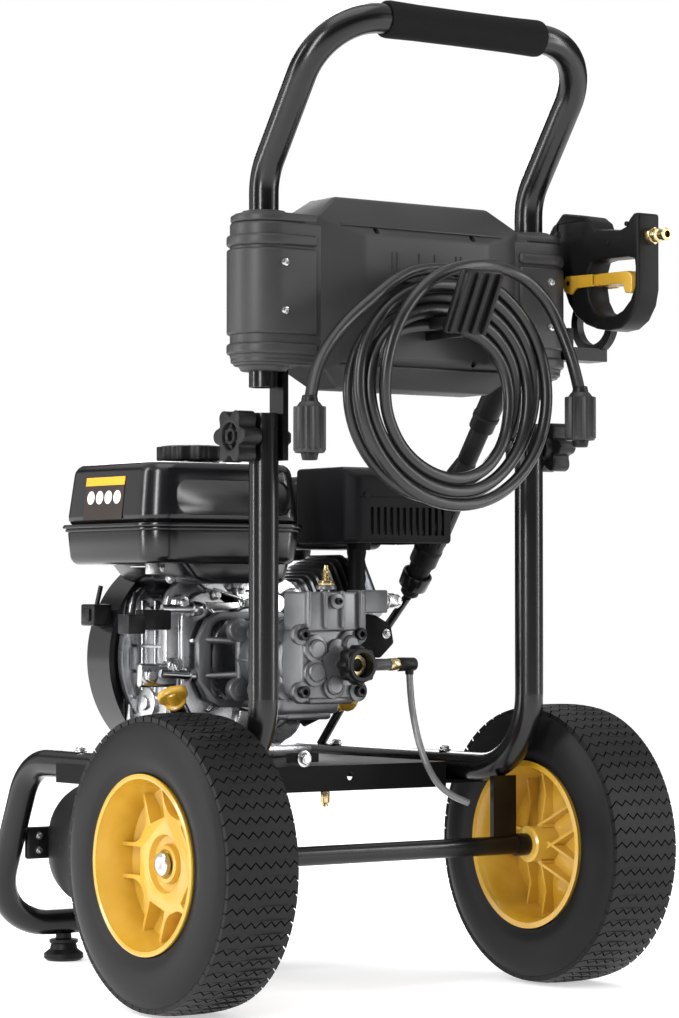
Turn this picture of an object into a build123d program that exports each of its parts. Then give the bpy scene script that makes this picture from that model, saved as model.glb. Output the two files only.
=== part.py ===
from build123d import *
import math
import os

# Engine-driven pressure washer on a two-wheel cart, in millimetres.
# +X is the operator's right, +Y is forwards (away from the operator), +Z is up.
# The parts are drawn about the axle: X = 0 is the middle of the cart, Y = 0 the
# axle, Z = 0 the ground. export_part() then moves every part along Y, so that
# the origin is at the middle of the footprint.

# ---- driving dimensions -------------------------------------------------------
TUBE_R = 15.0            # frame and handle tube, 30 mm outside
TUBE_WALL = 1.8
POST_X = 171.5           # half the distance between the two sides of the frame
POST_Y = -41.0           # upright posts, behind the axle
RAIL_Z = 232.7           # centre of the rails
POST_TOP = 599.0
FOLD_Z = 575.0           # pivot of the folding handle
CROSS_Y, CROSS_Z = 500.0, 45.0   # cross tube over the front feet
LEG_TOP_Y = 414.0

AXLE_Z = 150.0           # wheel radius
AXLE_R = 8.0
TYRE_OUT_X, TYRE_IN_X = 291.6, 196.0
BEAD_R = 88.8

SHAFT_Z = 348.0          # engine crankshaft and pump shaft, along Y at X = 0
DECK_TOP = 238.0
DECK_REAR, DECK_FRONT = 62.0, 326.0
SHEET = 3.0

FLANGE_Y = 223.0         # joint face between pump flange and engine cover
BOLT_SQUARE = 65.0       # four flange bolts on a 92 mm circle
HEAD_REAR, HEAD_FRONT = 72.0, 112.0
PLUNGER_R, PLUNGER_PITCH_R = 7.0, 20.0
RUN_GAP = 0.05           # radial running clearance
HOSE_THREAD_R = 13.3     # garden hose thread in the inlet nut
PART_GAP = 0.3           # gap between bodies that pass each other

PANEL_LOW, PANEL_HIGH = 649.0, 805.0
PANEL_R = 37.0           # sleeve of the panel around each handle tube
BAR_Y, BAR_Z = -146.0, 989.0     # grip bar
BEND_Z = 839.0           # where the handle leans back
GRIP_R = 18.0

LANCE_X = 230.0          # gun and lance hang outboard of the right post
LANCE_TIP = (LANCE_X, 247.0, 419.0)
LANCE_TOP = (LANCE_X, -28.0, 800.0)

TRIGGER_PIN = (-60.0, 750.0)
LOOP_CENTRE = (-51.0, 711.0)

HOSE_R = 6.25            # high-pressure hose
SIPHON_R = 3.75          # detergent hose

FOOT_R = 23.0
GUN_REAR = -197.0        # tail of the gun's inlet coupler
Y_SHIFT = -(GUN_REAR + CROSS_Y + FOOT_R) / 2


# ---- helpers ------------------------------------------------------------------
def block(x0, x1, y0, y1, z0, z1):
    """A box given by its six faces."""
    size = Box(x1 - x0, y1 - y0, z1 - z0)
    return Pos((x0 + x1) / 2, (y0 + y1) / 2, (z0 + z1) / 2) * size


def soft_block(x0, x1, y0, y1, z0, z1, radius):
    return fillet(block(x0, x1, y0, y1, z0, z1).edges(), radius)


def rod(start, end, r_start, r_end=None):
    """A round bar or a cone between two points."""
    a, b = Vector(*start), Vector(*end)
    place = Plane(origin=a, z_dir=b - a)
    along = (Align.CENTER, Align.CENTER, Align.MIN)
    length = (b - a).length
    if r_end is None:
        return place * Cylinder(r_start, length, align=along)
    return place * Cone(r_start, r_end, length, align=along)


def across(x0, x1, y, z, r):
    return rod((x0, y, z), (x1, y, z), r)


def along_y(y0, y1, x, z, r):
    return rod((x, y0, z), (x, y1, z), r)


def upright(z0, z1, x, y, r):
    return rod((x, y, z0), (x, y, z1), r)


def swept(points, radii, r):
    path = FilletPolyline(*points, radius=radii)
    return sweep(Plane(origin=path @ 0, z_dir=path % 0) * Circle(r), path=path)


def bent_tube(points, radii, r=TUBE_R, wall=TUBE_WALL):
    return swept(points, radii, r) - swept(points, radii, r - wall)


def mirrored(solid):
    return mirror(solid, about=Plane.YZ)


def joined(solids):
    total = solids[0]
    for extra in solids[1:]:
        total = total + extra
    return total


def export_part(name, solid):
    """Write one part; a part given as a list keeps its solids separate."""
    solids = solid if isinstance(solid, list) else [solid]
    pieces = [piece for item in solids for piece in item.solids()]
    whole = pieces[0] if len(pieces) == 1 else Compound(children=pieces)
    export_step(Pos(0, Y_SHIFT, 0) * whole, f"parts/{name}.step")


# ---- frame --------------------------------------------------------------------
def frame_tube():
    """Right half of the frame: post, rail, front leg and half of the cross tube."""
    points = [(POST_X, POST_Y, POST_TOP), (POST_X, POST_Y, RAIL_Z),
              (POST_X, LEG_TOP_Y, RAIL_Z), (POST_X, CROSS_Y, CROSS_Z), (0, CROSS_Y, CROSS_Z)]
    tube = bent_tube(points, [80, 60, 75])
    return tube - across(POST_X - 20, POST_X + 20, POST_Y, FOLD_Z, 4 + RUN_GAP)


def deck():
    """Pressed tray: raised middle, a step under each rail, an upturned edge, an apron."""
    step_x, edge_x, low = 140.0, 191.0, RAIL_Z - TUBE_R - SHEET
    tray = block(-step_x, step_x, DECK_REAR, DECK_FRONT, DECK_TOP - SHEET, DECK_TOP)
    for s in (-1, 1):
        inner, outer = sorted((s * (step_x - SHEET), s * edge_x))
        tray += block(inner, outer, DECK_REAR, DECK_FRONT, low, low + SHEET)
        a, b = sorted((s * (step_x - SHEET), s * step_x))
        tray += block(a, b, DECK_REAR, DECK_FRONT, low, DECK_TOP)
        a, b = sorted((s * (edge_x - SHEET), s * edge_x))
        tray += block(a, b, DECK_REAR, DECK_FRONT, low, RAIL_Z + 3)
    tray += block(-step_x, step_x, DECK_REAR, DECK_REAR + SHEET, 211, DECK_TOP)
    tray -= along_y(DECK_REAR - 2, DECK_REAR + 5, 12, 226, 4.5)
    return tray


def axle():
    """Cross tube with a solid stub to each wheel, hung from the frame on two plates."""
    bar = across(-186, 186, 0, AXLE_Z, 10)
    bar += across(-262.3, 262.3, 0, AXLE_Z, AXLE_R)
    for s in (-1, 1):
        bar += across(s * 262.3, s * 266, 0, AXLE_Z, 11)
        bar += across(s * 186, s * 199.7, 0, AXLE_Z, 12)
        a, b = sorted((s * 156, s * 187))
        bar += block(a, b, 0, 6, AXLE_Z, 224.5)
    return bar


def foot(x):
    cup = rod((x, CROSS_Y, 0), (x, CROSS_Y, 22), FOOT_R, 15)
    return cup + upright(22, CROSS_Z - TUBE_R + 0.5, x, CROSS_Y, 9)


def frame_bolts():
    heads = []
    for s in (-1, 1):
        for y in (105, 307):
            heads.append(upright(RAIL_Z + TUBE_R, RAIL_Z + TUBE_R + 5, s * POST_X, y, 6.5))
    return heads


def detergent_tank():
    tank = soft_block(-130, 130, 332, 470, 72, 209, 34)
    inner = soft_block(-126, 126, 336, 466, 76, 205, 30)
    tank = tank - inner - upright(190, 215, 70, 430, 18)
    for s in (-1, 1):
        a, b = sorted((s * 126, s * 156.4))
        tank += block(a, b, 446, 452, 125, 155)
    return tank + (upright(204, 214, 70, 430, 22) - upright(200, 220, 70, 430, 18))


def detergent_cap():
    return upright(214.3, 226, 70, 430, 25) + upright(206, 215, 70, 430, 17)


def lance_rest():
    """Bent rod from the right rail to an open saddle under the lance."""
    tip = Vector(*LANCE_TIP)
    base, knee = (POST_X, 338, RAIL_Z + TUBE_R - 1), (LANCE_X, 290, 380)
    top = (LANCE_X, tip.Y + 14, tip.Z - 13)
    stem = rod(base, knee, 5) + Pos(*knee) * Sphere(5) + rod(knee, top, 5)
    floor = block(LANCE_X - 22, LANCE_X + 22, tip.Y - 6, tip.Y + 30, tip.Z - 14, tip.Z - 10)
    for s in (-1, 1):
        a, b = sorted((LANCE_X + s * 19, LANCE_X + s * 22))
        floor += block(a, b, tip.Y - 6, tip.Y + 30, tip.Z - 14, tip.Z + 20)
    return stem + floor


# ---- wheels -------------------------------------------------------------------
def turned(points):
    """A ring turned about the wheel axle; points are (distance from middle, radius)."""
    outline = Plane.XY * Polygon(*points, align=None)
    return Pos(0, 0, AXLE_Z) * revolve(outline, axis=Axis.X)


def tyre():
    x0, x1 = TYRE_IN_X, TYRE_OUT_X
    return turned([(x0 + 4, BEAD_R), (x0, 108), (x0 + 3, 132), (x0 + 16, 147), (x0 + 30, 150),
                   (x1 - 30, 150), (x1 - 16, 147), (x1 - 3, 132), (x1, 108), (x1 - 4, BEAD_R),
                   (x1 - 16, BEAD_R), (x1 - 12, 108), (x1 - 16, 128), (x1 - 32, 138),
                   (x0 + 32, 138), (x0 + 16, 128), (x0 + 12, 108), (x0 + 16, BEAD_R)])


def rim():
    """Barrel with rolled lips, a dished back plate, a five-armed star and a long hub."""
    x0, x1 = TYRE_IN_X + 2, TYRE_OUT_X - 2
    wheel = turned([(x0, 82), (x0, BEAD_R), (x1, BEAD_R), (x1, 82), (x1 - 14, 78), (x0 + 14, 78)])
    wheel += turned([(236, 14), (240, 14), (252, 79), (247, 79)])
    wheel += across(200, 262, 0, AXLE_Z, 20) + across(245, 262, 0, AXLE_Z, 42)
    wheel -= across(256, 263, 0, AXLE_Z, 29) - across(255, 264, 0, AXLE_Z, 20)
    arm = block(243, 262, -15.5, 15.5, 38, 79) - block(249, 263, -9.5, 9.5, 47, 73)
    for k in range(5):
        wheel += Pos(0, 0, AXLE_Z) * Rot(72 * k - 90, 0, 0) * arm
    return wheel - across(190, 270, 0, AXLE_Z, AXLE_R + RUN_GAP)


# ---- engine -------------------------------------------------------------------
def on_shaft(y0, y1, r):
    return along_y(y0, y1, 0, SHAFT_Z, r)


def crankcase():
    case = fillet(block(-98, 74, 250, 329, 246, 428).edges().filter_by(Axis.Y), 28)
    case += block(-96, 92, 240, 328, DECK_TOP, 250)
    case -= block(-84, 60, 245, 322, 262, 414)
    case -= on_shaft(318, 335, 14)
    deck_face = Plane(origin=CYL_BASE, x_dir=(0, 1, 0), z_dir=CYL_DIR)
    case += deck_face * Pos(0, 0, -20) * Box(66, 58, 40)
    case -= deck_face * Pos(0, 0, -30) * Cylinder(30 + RUN_GAP, 62)
    return case


def side_cover():
    """Cover on the drive side, with a machined boss that carries the pump."""
    cover = fillet(block(-104, 78, 236, 250, 258, 436).edges().filter_by(Axis.Y), 30)
    cover += on_shaft(FLANGE_Y, 240, 58)
    cover -= on_shaft(FLANGE_Y - 1, 251, 12)
    for x, z in flange_bolts():
        cover -= along_y(FLANGE_Y - 1, 238, x, z, 4.2)
    for x, z in ((-84, 407), (-92, 335), (-80, 285), (60, 415), (66, 285), (-10, 425)):
        cover += along_y(230, 238, x, z, 7)
    for start, end in (NECK_LEFT, NECK_RIGHT):
        cover += rod(start, end, 11)
    return cover


def flange_bolts():
    half = BOLT_SQUARE / 2
    return [(x, SHAFT_Z + z) for x in (-half, half) for z in (-half, half)]


CYL_DIR = Vector(math.cos(math.radians(25)), 0, math.sin(math.radians(25)))
CYL_BASE = Vector(90, 290, 384)
NECK_LEFT = ((-86, 238, 286), (-106, 220, 303))
NECK_RIGHT = ((72, 238, 282), (96, 206, 300))


def cylinder_head():
    """Finned cylinder leaning up to the right, with its rocker cover at the end."""
    place = Plane(origin=CYL_BASE, x_dir=(0, 1, 0), z_dir=CYL_DIR)
    core = place * Pos(0, 0, 42) * Box(62, 66, 84)
    fins = [place * Pos(0, 0, 8 + 9 * k) * Box(78, 100, 3) for k in range(9)]
    cap = place * Pos(0, 0, 96) * fillet(Box(74, 74, 26).edges(), 8)
    bore = place * Pos(0, 0, 36) * Cylinder(30 + RUN_GAP, 84)
    return joined([core, *fins, cap]) - bore


def piston():
    base = CYL_BASE + CYL_DIR * 14
    return rod(base, base + CYL_DIR * 34, 30)


def blower_housing():
    """Round fan shroud with the starter dome on its front."""
    shell = on_shaft(330, 376, 121) - on_shaft(329, 370, 117)
    dome = rod((0, 376, SHAFT_Z), (0, 392, SHAFT_Z), 86, 78)
    dome -= on_shaft(369, 387, 74)
    shell = shell - on_shaft(369, 378, 74) + dome
    shell += on_shaft(330, 333, 118) - on_shaft(329, 334, 40)
    shell -= block(-130, 130, 329, 380, 452, 480)
    return shell + block(-60, 60, 330, 376, 449, 452)


def recoil_handle():
    grip = fillet(Box(46, 12, 14).edges(), 5)
    return Pos(-48, 404, 398) * grip + along_y(392.6, 400, -48, 398, 4)


def crankshaft():
    shaft = on_shaft(176, 330, 9.9) + on_shaft(330, 366, 9)
    shaft += on_shaft(262, 274, 44) + on_shaft(300, 312, 44)
    shaft += on_shaft(337, 352, 97)
    for k in range(18):
        turn = math.radians(20 * k)
        x, z = 80 * math.cos(turn), 80 * math.sin(turn)
        blade = Pos(x, 357, SHAFT_Z + z) * Rot(0, -math.degrees(turn), 0) * Box(30, 12, 3)
        shaft += blade
    return shaft


def fuel_tank():
    tank = soft_block(-165, 30, 170, 345, 456, 560, 24)
    tank += soft_block(-169, 34, 166, 349, 488, 498, 4)
    tank -= soft_block(-162, 27, 173, 342, 459, 557, 21)
    tank -= upright(550, 565, -60, 258, 26)
    return tank + (upright(556, 564, -60, 258, 30) - upright(550, 570, -60, 258, 26))


def fuel_cap():
    cap = upright(564.3, 581, -60, 258, 35) + upright(556, 566, -60, 258, 25)
    for k in range(10):
        turn = math.radians(36 * k)
        cap += upright(565, 580, -60 + 34 * math.cos(turn), 258 + 34 * math.sin(turn), 4.5)
    return cap


def tank_brackets():
    """Two pressed steps that carry the fuel tank on the crankcase."""
    left = block(-150, -60, 262, 300, 450, 456) + block(-75, -60, 262, 300, 428, 450)
    right = block(0, 22, 262, 300, 428, 456)
    return [left, right]


def muffler_guard():
    """Pressed box over the muffler, slotted towards the operator."""
    guard = block(78, 211, 150, 254, 477, 559)
    guard -= block(80, 209, 152, 252, 470, 557)
    for k in range(12):
        x = 112 + 7.8 * k
        guard -= block(x, x + 3.6, 148, 153, 486, 513)
    return guard


def muffler():
    can = soft_block(92, 200, 166, 240, 482, 548, 14)
    return can + rod((150, 228, 500), (150, 232, 470), 12)


def air_cleaner():
    """Air cleaner box with the carburettor on its front face."""
    return [soft_block(84, 205, 258, 342, 470, 552, 10), block(130, 175, 342, 376, 474, 510)]


# ---- pump ---------------------------------------------------------------------
def lobes(y0, y1, r_mid, r_lobe):
    plate = on_shaft(y0, y1, r_mid)
    for x, z in flange_bolts():
        plate += along_y(y0, y1, x, z, r_lobe)
    return plate


def pump_bell():
    """Flange and open bell that join the pump to the engine cover."""
    bell = lobes(FLANGE_Y - 11, FLANGE_Y, 48, 13)
    bell += rod((0, 172, SHAFT_Z), (0, FLANGE_Y - 11, SHAFT_Z), 43, 49)
    bell -= rod((0, 171, SHAFT_Z), (0, FLANGE_Y + 1, SHAFT_Z), 37, 42)
    for x, z in flange_bolts():
        bell -= along_y(FLANGE_Y - 12, FLANGE_Y + 1, x, z, 4.2)
    for k in range(4):
        bell -= Pos(0, 192, SHAFT_Z) * Rot(0, 90 * k, 0) * Pos(44, 0, 0) * Box(26, 22, 34)
    return bell


def pump_body():
    """Housing of the wobble plate, with cooling ribs and an oil sump."""
    body = on_shaft(HEAD_FRONT, 172, 42) + block(-40, 40, 118, 168, 290, SHAFT_Z)
    for k in range(4):
        y = 122 + 13 * k
        body += on_shaft(y, y + 4, 47)
    for x in (-38, 38):
        for z in (317, 378):
            body += along_y(HEAD_FRONT, 150, x, z, 9)
    body -= on_shaft(HEAD_FRONT + 8, 173, 36)
    for x, z in plunger_places():
        body -= along_y(HEAD_FRONT - 1, 130, x, z, PLUNGER_R + RUN_GAP)
    return body


def plunger_places():
    turns = [math.radians(90 + 120 * k) for k in range(3)]
    return [(PLUNGER_PITCH_R * math.cos(t), SHAFT_Z + PLUNGER_PITCH_R * math.sin(t)) for t in turns]


def plunger(x, z):
    return along_y(94, 140, x, z, PLUNGER_R)


def wobble_plate():
    disc = Pos(0, 156, SHAFT_Z) * Rot(90 + 8, 0, 0) * Cylinder(30, 8)
    return disc + on_shaft(158, 176, 12)


def pump_head():
    """Valve block with the ribbed outlet gallery on top."""
    head = fillet(block(-46, 46, HEAD_REAR, HEAD_FRONT, 308, 388).edges().filter_by(Axis.Y), 9)
    head += block(-53, 39.5, HEAD_REAR - 6, HEAD_FRONT, 386, 425)
    head += block(39, 68.6, HEAD_REAR, HEAD_FRONT - 8, 399, 423)
    for x in (-45, -27, -9, 9, 27):
        head += block(x, x + 4, HEAD_REAR - 9, HEAD_REAR, 388, 425)
    for x, z in plunger_places():
        head -= along_y(86, HEAD_FRONT + 1, x, z, PLUNGER_R + RUN_GAP)
    head += along_y(58.3, 74, INLET[0], INLET[1], 13)
    return head - along_y(57, 80, INLET[0], INLET[1], 8)


INLET = (10.0, 343.6)
INJECTOR_Y, INJECTOR_Z = 84.0, 343.0


def valve_caps():
    places = ((-27, 361), (17, 365), (-27, 336), (-4, 322))
    return [along_y(HEAD_REAR - 6, HEAD_REAR, x, z, 8.5) for x, z in places]


def pump_bolts():
    bolts = []
    for x in (-38, 38):
        for z in (317, 378):
            head = along_y(HEAD_REAR - 8, HEAD_REAR, x, z, 6.5)
            bolts.append(head - along_y(HEAD_REAR - 9, HEAD_REAR - 4, x, z, 3))
    return bolts


def unloader():
    stem = across(68.6, 88, 88, 411, 7.5) + across(88, 97, 88, 411, 6)
    return stem + across(46, 58, 95, 372, 13)


def pressure_outlet():
    return across(58, 66, 95, 372, 13) + across(66, 84, 95, 372, 11)


def brass_fittings():
    valve = upright(425, 433, -4, 84, 8) + upright(433, 447, -4, 84, 3.5)
    band = across(79, 91, INJECTOR_Y, INJECTOR_Z, 6.6)
    drain = upright(199, 211, -20, 63.5, 5)
    return [valve, band, drain]


def injector():
    pipe = across(46, 79, INJECTOR_Y, INJECTOR_Z, 6.2)
    elbow = across(91, 114, INJECTOR_Y, INJECTOR_Z, 7.5)
    return [pipe, elbow + upright(334, INJECTOR_Z, 107, INJECTOR_Y, 4.6)]


def inlet_nut():
    """Swivel nut for a garden hose."""
    nut = along_y(36, 56, INLET[0], INLET[1], 19)
    for k in range(8):
        turn = math.radians(45 * k)
        nut += along_y(37, 56, INLET[0] + 18 * math.cos(turn), INLET[1] + 18 * math.sin(turn), 3)
    nut -= along_y(35, 47, INLET[0], INLET[1], HOSE_THREAD_R)
    nut -= along_y(46, 52, INLET[0], INLET[1], 11.5)
    return nut - along_y(50, 57, INLET[0], INLET[1], 9 + RUN_GAP)


def inlet_spigot():
    spigot = along_y(47, 58.3, INLET[0], INLET[1], 9) + along_y(47, 51.5, INLET[0], INLET[1], 11)
    return spigot - along_y(40, 60, INLET[0], INLET[1], 7)


# ---- handle -------------------------------------------------------------------
def handle_tube():
    points = [(-POST_X, POST_Y, 625), (-POST_X, POST_Y, BEND_Z), (-POST_X, BAR_Y, BAR_Z),
              (POST_X, BAR_Y, BAR_Z), (POST_X, POST_Y, BEND_Z), (POST_X, POST_Y, 625)]
    tube = bent_tube(points, [60, 70, 70, 60])
    for s in (-1, 1):
        a, b = sorted((s * 149.7, s * 156))
        tongue = block(a, b, POST_Y - 12, POST_Y + 12, 552, 700)
        a, b = sorted((s * 150, s * 159))
        tongue += block(a, b, POST_Y - 5, POST_Y + 5, 640, 700)
        tube += tongue - across(s * 140, s * 160, POST_Y, FOLD_Z, 4 + RUN_GAP)
    return tube


def grip():
    sleeve = across(-99, 99, BAR_Y, BAR_Z, GRIP_R)
    return sleeve - across(-100, 100, BAR_Y, BAR_Z, TUBE_R)


def knob():
    """Six-lobed clamp knob with its stud through the post and the handle's tongue."""
    x0, x1 = 197.0, 222.0
    star = across(x0, x1, POST_Y, FOLD_Z, 20)
    for k in range(6):
        turn = math.radians(60 * k)
        star += across(x0, x1, POST_Y + 20.5 * math.cos(turn), FOLD_Z + 20.5 * math.sin(turn), 8.5)
    star += across(POST_X + TUBE_R + 0.5, x0, POST_Y, FOLD_Z, 12)
    star -= across(x1 - 7, x1 + 1, POST_Y, FOLD_Z, 8)
    star += across(145, 200, POST_Y, FOLD_Z, 4)
    return star + across(143, 149.4, POST_Y, FOLD_Z, 9)


def panel_end(z0, z1, r, x_inner):
    """A stretch of the sleeve around the right handle tube, with its flat inner side."""
    sleeve = upright(z0, z1, POST_X, POST_Y, r)
    return sleeve + block(x_inner, POST_X, POST_Y - r, POST_Y + r, z0, z1)


def panel(rear):
    """One half of the hollow panel between the handle tubes."""
    plan = Polygon((-134, -75), (-79, -87), (79, -87), (134, -75),
                   (134, -7), (79, 5), (-79, 5), (-134, -7), align=None)
    face = Polygon((-134, 650), (-97, 628), (97, 628), (134, 650),
                   (134, 797), (97, 821), (-97, 821), (-134, 797), align=None)
    side = Polygon((-87, 650), (-60, 620), (-22, 620), (5, 650),
                   (5, 790), (-22, 823), (-60, 823), (-87, 790), align=None)
    middle = Pos(0, 0, 610) * extrude(plan, 220)
    middle &= Pos(0, 20, 0) * extrude(Plane.XZ * face, 120)
    middle &= Pos(-140, 0, 0) * extrude(Plane.YZ * side, 280)
    body = middle + block(-POST_X, POST_X, -75, -7, PANEL_LOW + 6, PANEL_HIGH - 6)
    body -= block(-126, 126, -72, -10, PANEL_LOW + 10, PANEL_HIGH - 10)
    end = panel_end(PANEL_LOW, PANEL_HIGH - 8, PANEL_R - 3, 128)
    for low, high in ((658, 669), (678, 762), (766, 777)):
        end += panel_end(low, high, PANEL_R, 130)
    body += end + mirrored(end)
    for s in (-1, 1):
        body -= upright(600, 850, s * POST_X, POST_Y, TUBE_R)
        a, b = sorted((s * 149, s * 160))
        body -= block(a, b, POST_Y - 12.3, POST_Y + 12.3, 640, 701)
    if rear:
        return body & block(-250, 250, -100, POST_Y - 0.2, 600, 900)
    return body & block(-250, 250, POST_Y + 0.2, 50, 600, 900)


def panel_screws():
    return [along_y(-81, -78, s * POST_X, z, 4) for s in (-1, 1) for z in (700, 748)]


def hose_hook():
    arm = block(-20, 20, -148, -87, 672, 684)
    plate = Pos(0, -162, 712) * Rot(28, 0, 0) * Box(51, 8, 70)
    ribs = [Pos(x, -167, 712) * Rot(28, 0, 0) * Box(4, 6, 66) for x in (-16, -2, 12)]
    return joined([arm, plate, *ribs]) - block(-40, 40, -88, -70, 600, 671)


# ---- gun and lance ------------------------------------------------------------
def on_lance(s0, s1, r0, r1=None):
    """A round stretch of the lance, measured up from its tip."""
    a, b = Vector(*LANCE_TIP), Vector(*LANCE_TOP)
    along = (b - a).normalized()
    return rod(a + along * s0, a + along * s1, r0, r1)


def lance():
    tube = on_lance(0, 44, 9, 13) + on_lance(44, 165, 16) + on_lance(165, 182, 16, 11)
    return tube + on_lance(182, 226, 11) + on_lance(226, 420, 14)


def gun_body():
    """Body with its grip on top, the valve in line with the lance, and the guard loop."""
    outer = Polygon((-168, 736), (-157, 709), (-138, 696), (-104, 700), (-74, 710), (-56, 726),
                    (-45, 746), (-22, 764), (-14, 800), (-44, 827), (-84, 820), (-97, 812),
                    (-99, 803), (-138, 801), (-149, 804), (-160, 816), (-168, 816), align=None)
    inner = Polygon((-88, 770), (-160, 770), (-160, 738), (-150, 722), (-130, 712), (-112, 711),
                    (-96, 719), (-88, 738), align=None)
    outline = fillet(outer.vertices(), 3) - fillet(inner.vertices(), 4)
    body = extrude(Plane.YZ * outline, 30)
    body = Pos(LANCE_X - 15, 0, 0) * body
    body += on_lance(420, 480, 17)
    return body + across(LANCE_X - 20, LANCE_X + 20, *TRIGGER_PIN, 2.5)


def trigger():
    """Bar inside the guard loop, on two cheeks that straddle the gun to its pivot pin."""
    lever = block(LANCE_X - 13, LANCE_X + 13, -155, -92, 745, 756)
    lever += block(LANCE_X - 13, LANCE_X + 13, -155, -145, 734, 756)
    lever += block(LANCE_X - 19.4, LANCE_X + 19.4, -99, -92, 741, 756)
    for s in (-1, 1):
        a, b = sorted((LANCE_X + s * 15.4, LANCE_X + s * 19.4))
        lever += block(a, b, -99, -52, 741, 756)
    return lever - across(LANCE_X - 20, LANCE_X + 20, *TRIGGER_PIN, 2.5 + RUN_GAP)


def gun_coupler():
    stem = along_y(GUN_REAR, -168, LANCE_X, 792, 5.5)
    return stem + along_y(-180, -168, LANCE_X, 792, 8.5)


def gun_holder():
    """Bracket on the panel's end: an open cradle for the lance and a hook beside the gun."""
    plate = block(206, 213, -48, 40, 700, 768)
    plate += block(206, 213, -66, -36, 668, 702) + block(206, 260, -66, -36, 668, 682)
    plate += on_lance(379.7, 419.7, 21)
    plate -= on_lance(370, 440, 17) + block(LANCE_X + 4, LANCE_X + 40, -20, 60, 700, 790)
    plate -= upright(660, 800, POST_X, POST_Y, PANEL_R)
    loop = across(251, 260, *LOOP_CENTRE, 34) - across(250, 261, *LOOP_CENTRE, 24)
    return plate + (loop - block(240, 262, -90, -56, 716, 760))


# ---- hoses --------------------------------------------------------------------
COIL = {"outer": (7.0, 626.5, 137.0, 129.0), "inner": (-7.0, 609.0, 87.0, 82.0)}
COIL_Y = (-140.0, -94.0)
LEFT_TAIL = [(-97, -125, 711), (-119, -125, 697), (-141, -128, 679), (-168, -138, 654),
             (-190, -152, 627), (-203.5, -165, 601)]
RIGHT_TAIL = [(50, -120, 750), (77, -120, 748), (102, -122, 738), (126, -128, 717),
              (139, -138, 685), (144, -150, 650), (140, -163, 623)]
SIPHON = [(107, 84, 334), (105, 80, 316), (99, 68, 291), (97, 54, 258), (101, 42, 231),
          (112, 36, 212), (129, 32, 201), (145, 30, 195)]


def tail(points, r):
    """A free hose: straight runs joined by arcs as large as the runs allow."""
    steps = [Vector(*b) - Vector(*a) for a, b in zip(points, points[1:])]
    radii = []
    for before, after in zip(steps, steps[1:]):
        half_turn = math.radians(before.get_angle(after)) / 2
        radii.append(0.45 * min(before.length, after.length) / math.tan(half_turn))
    print("bend radii", [round(radius) for radius in radii])
    return swept(points, radii, r)


def hose_coil():
    ring = []
    for x, z, rx, rz in (COIL["outer"], COIL["inner"]):
        face = Plane(origin=(x, COIL_Y[1], z), x_dir=(1, 0, 0), z_dir=(0, -1, 0)) * Ellipse(rx, rz)
        ring.append(extrude(face, COIL_Y[1] - COIL_Y[0]))
    return ring[0] - ring[1]


def hose_connectors():
    ends = []
    for x, y, top in (LEFT_TAIL[-1], RIGHT_TAIL[-1]):
        ends.append(upright(top - 47, top, x, y, 16) + upright(top - 54, top - 47, x, y, 7))
    return ends


def dipstick(neck):
    a, b = Vector(*neck[0]), Vector(*neck[1])
    along = (b - a).normalized()
    return rod(b + along * PART_GAP, b + along * 13, 14) + rod(b, b + along * 18, 6)


# ---- write every part -----------------------------------------------------------
os.makedirs("parts", exist_ok=True)

export_part("frame_tube_right", frame_tube())
export_part("frame_tube_left", mirrored(frame_tube()))
export_part("engine_deck", deck())
export_part("axle", axle())
export_part("feet", [foot(-75), foot(75)])
export_part("frame_bolts", frame_bolts())
export_part("detergent_tank", detergent_tank())
export_part("detergent_cap", detergent_cap())
export_part("lance_rest", lance_rest())
export_part("tyre_right", tyre())
export_part("tyre_left", mirrored(tyre()))
export_part("rim_right", rim())
export_part("rim_left", mirrored(rim()))
export_part("crankcase", crankcase())
export_part("side_cover", side_cover())
export_part("cylinder_head", cylinder_head())
export_part("piston", piston())
export_part("blower_housing", blower_housing())
export_part("recoil_handle", recoil_handle())
export_part("crankshaft", crankshaft())
export_part("fuel_tank", fuel_tank())
export_part("fuel_cap", fuel_cap())
export_part("tank_brackets", tank_brackets())
export_part("muffler_guard", [muffler_guard(), muffler()])
export_part("air_cleaner", air_cleaner())
export_part("pump_bell", pump_bell())
export_part("pump_body", pump_body())
export_part("pump_head", pump_head())
export_part("valve_caps", valve_caps())
export_part("pump_bolts", pump_bolts())
export_part("wobble_plate", wobble_plate())
for number, (px, pz) in enumerate(plunger_places(), start=1):
    export_part(f"plunger_{number}", plunger(px, pz))
export_part("unloader", unloader())
export_part("pressure_outlet", pressure_outlet())
export_part("brass_fittings", brass_fittings())
export_part("injector", injector())
export_part("inlet_spigot", inlet_spigot())
export_part("inlet_nut", inlet_nut())
export_part("dipstick_left", dipstick(NECK_LEFT))
export_part("dipstick_right", dipstick(NECK_RIGHT))
export_part("handle_tube", handle_tube())
export_part("handle_grip", grip())
export_part("knob_right", knob())
export_part("knob_left", mirrored(knob()))
export_part("panel_rear", panel(rear=True))
export_part("panel_front", panel(rear=False))
export_part("panel_screws", panel_screws())
export_part("hose_hook", hose_hook())
export_part("lance", lance())
export_part("gun_body", gun_body())
export_part("trigger", trigger())
export_part("gun_coupler", gun_coupler())
export_part("gun_holder", gun_holder())
export_part("hose_coil", hose_coil())
export_part("hose_tail_left", tail(LEFT_TAIL, HOSE_R))
export_part("hose_tail_right", tail(RIGHT_TAIL, HOSE_R))
export_part("hose_connectors", hose_connectors())
export_part("siphon_hose", tail(SIPHON, SIPHON_R))
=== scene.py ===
import math

import bpy
from mathutils import Matrix, Vector


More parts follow.
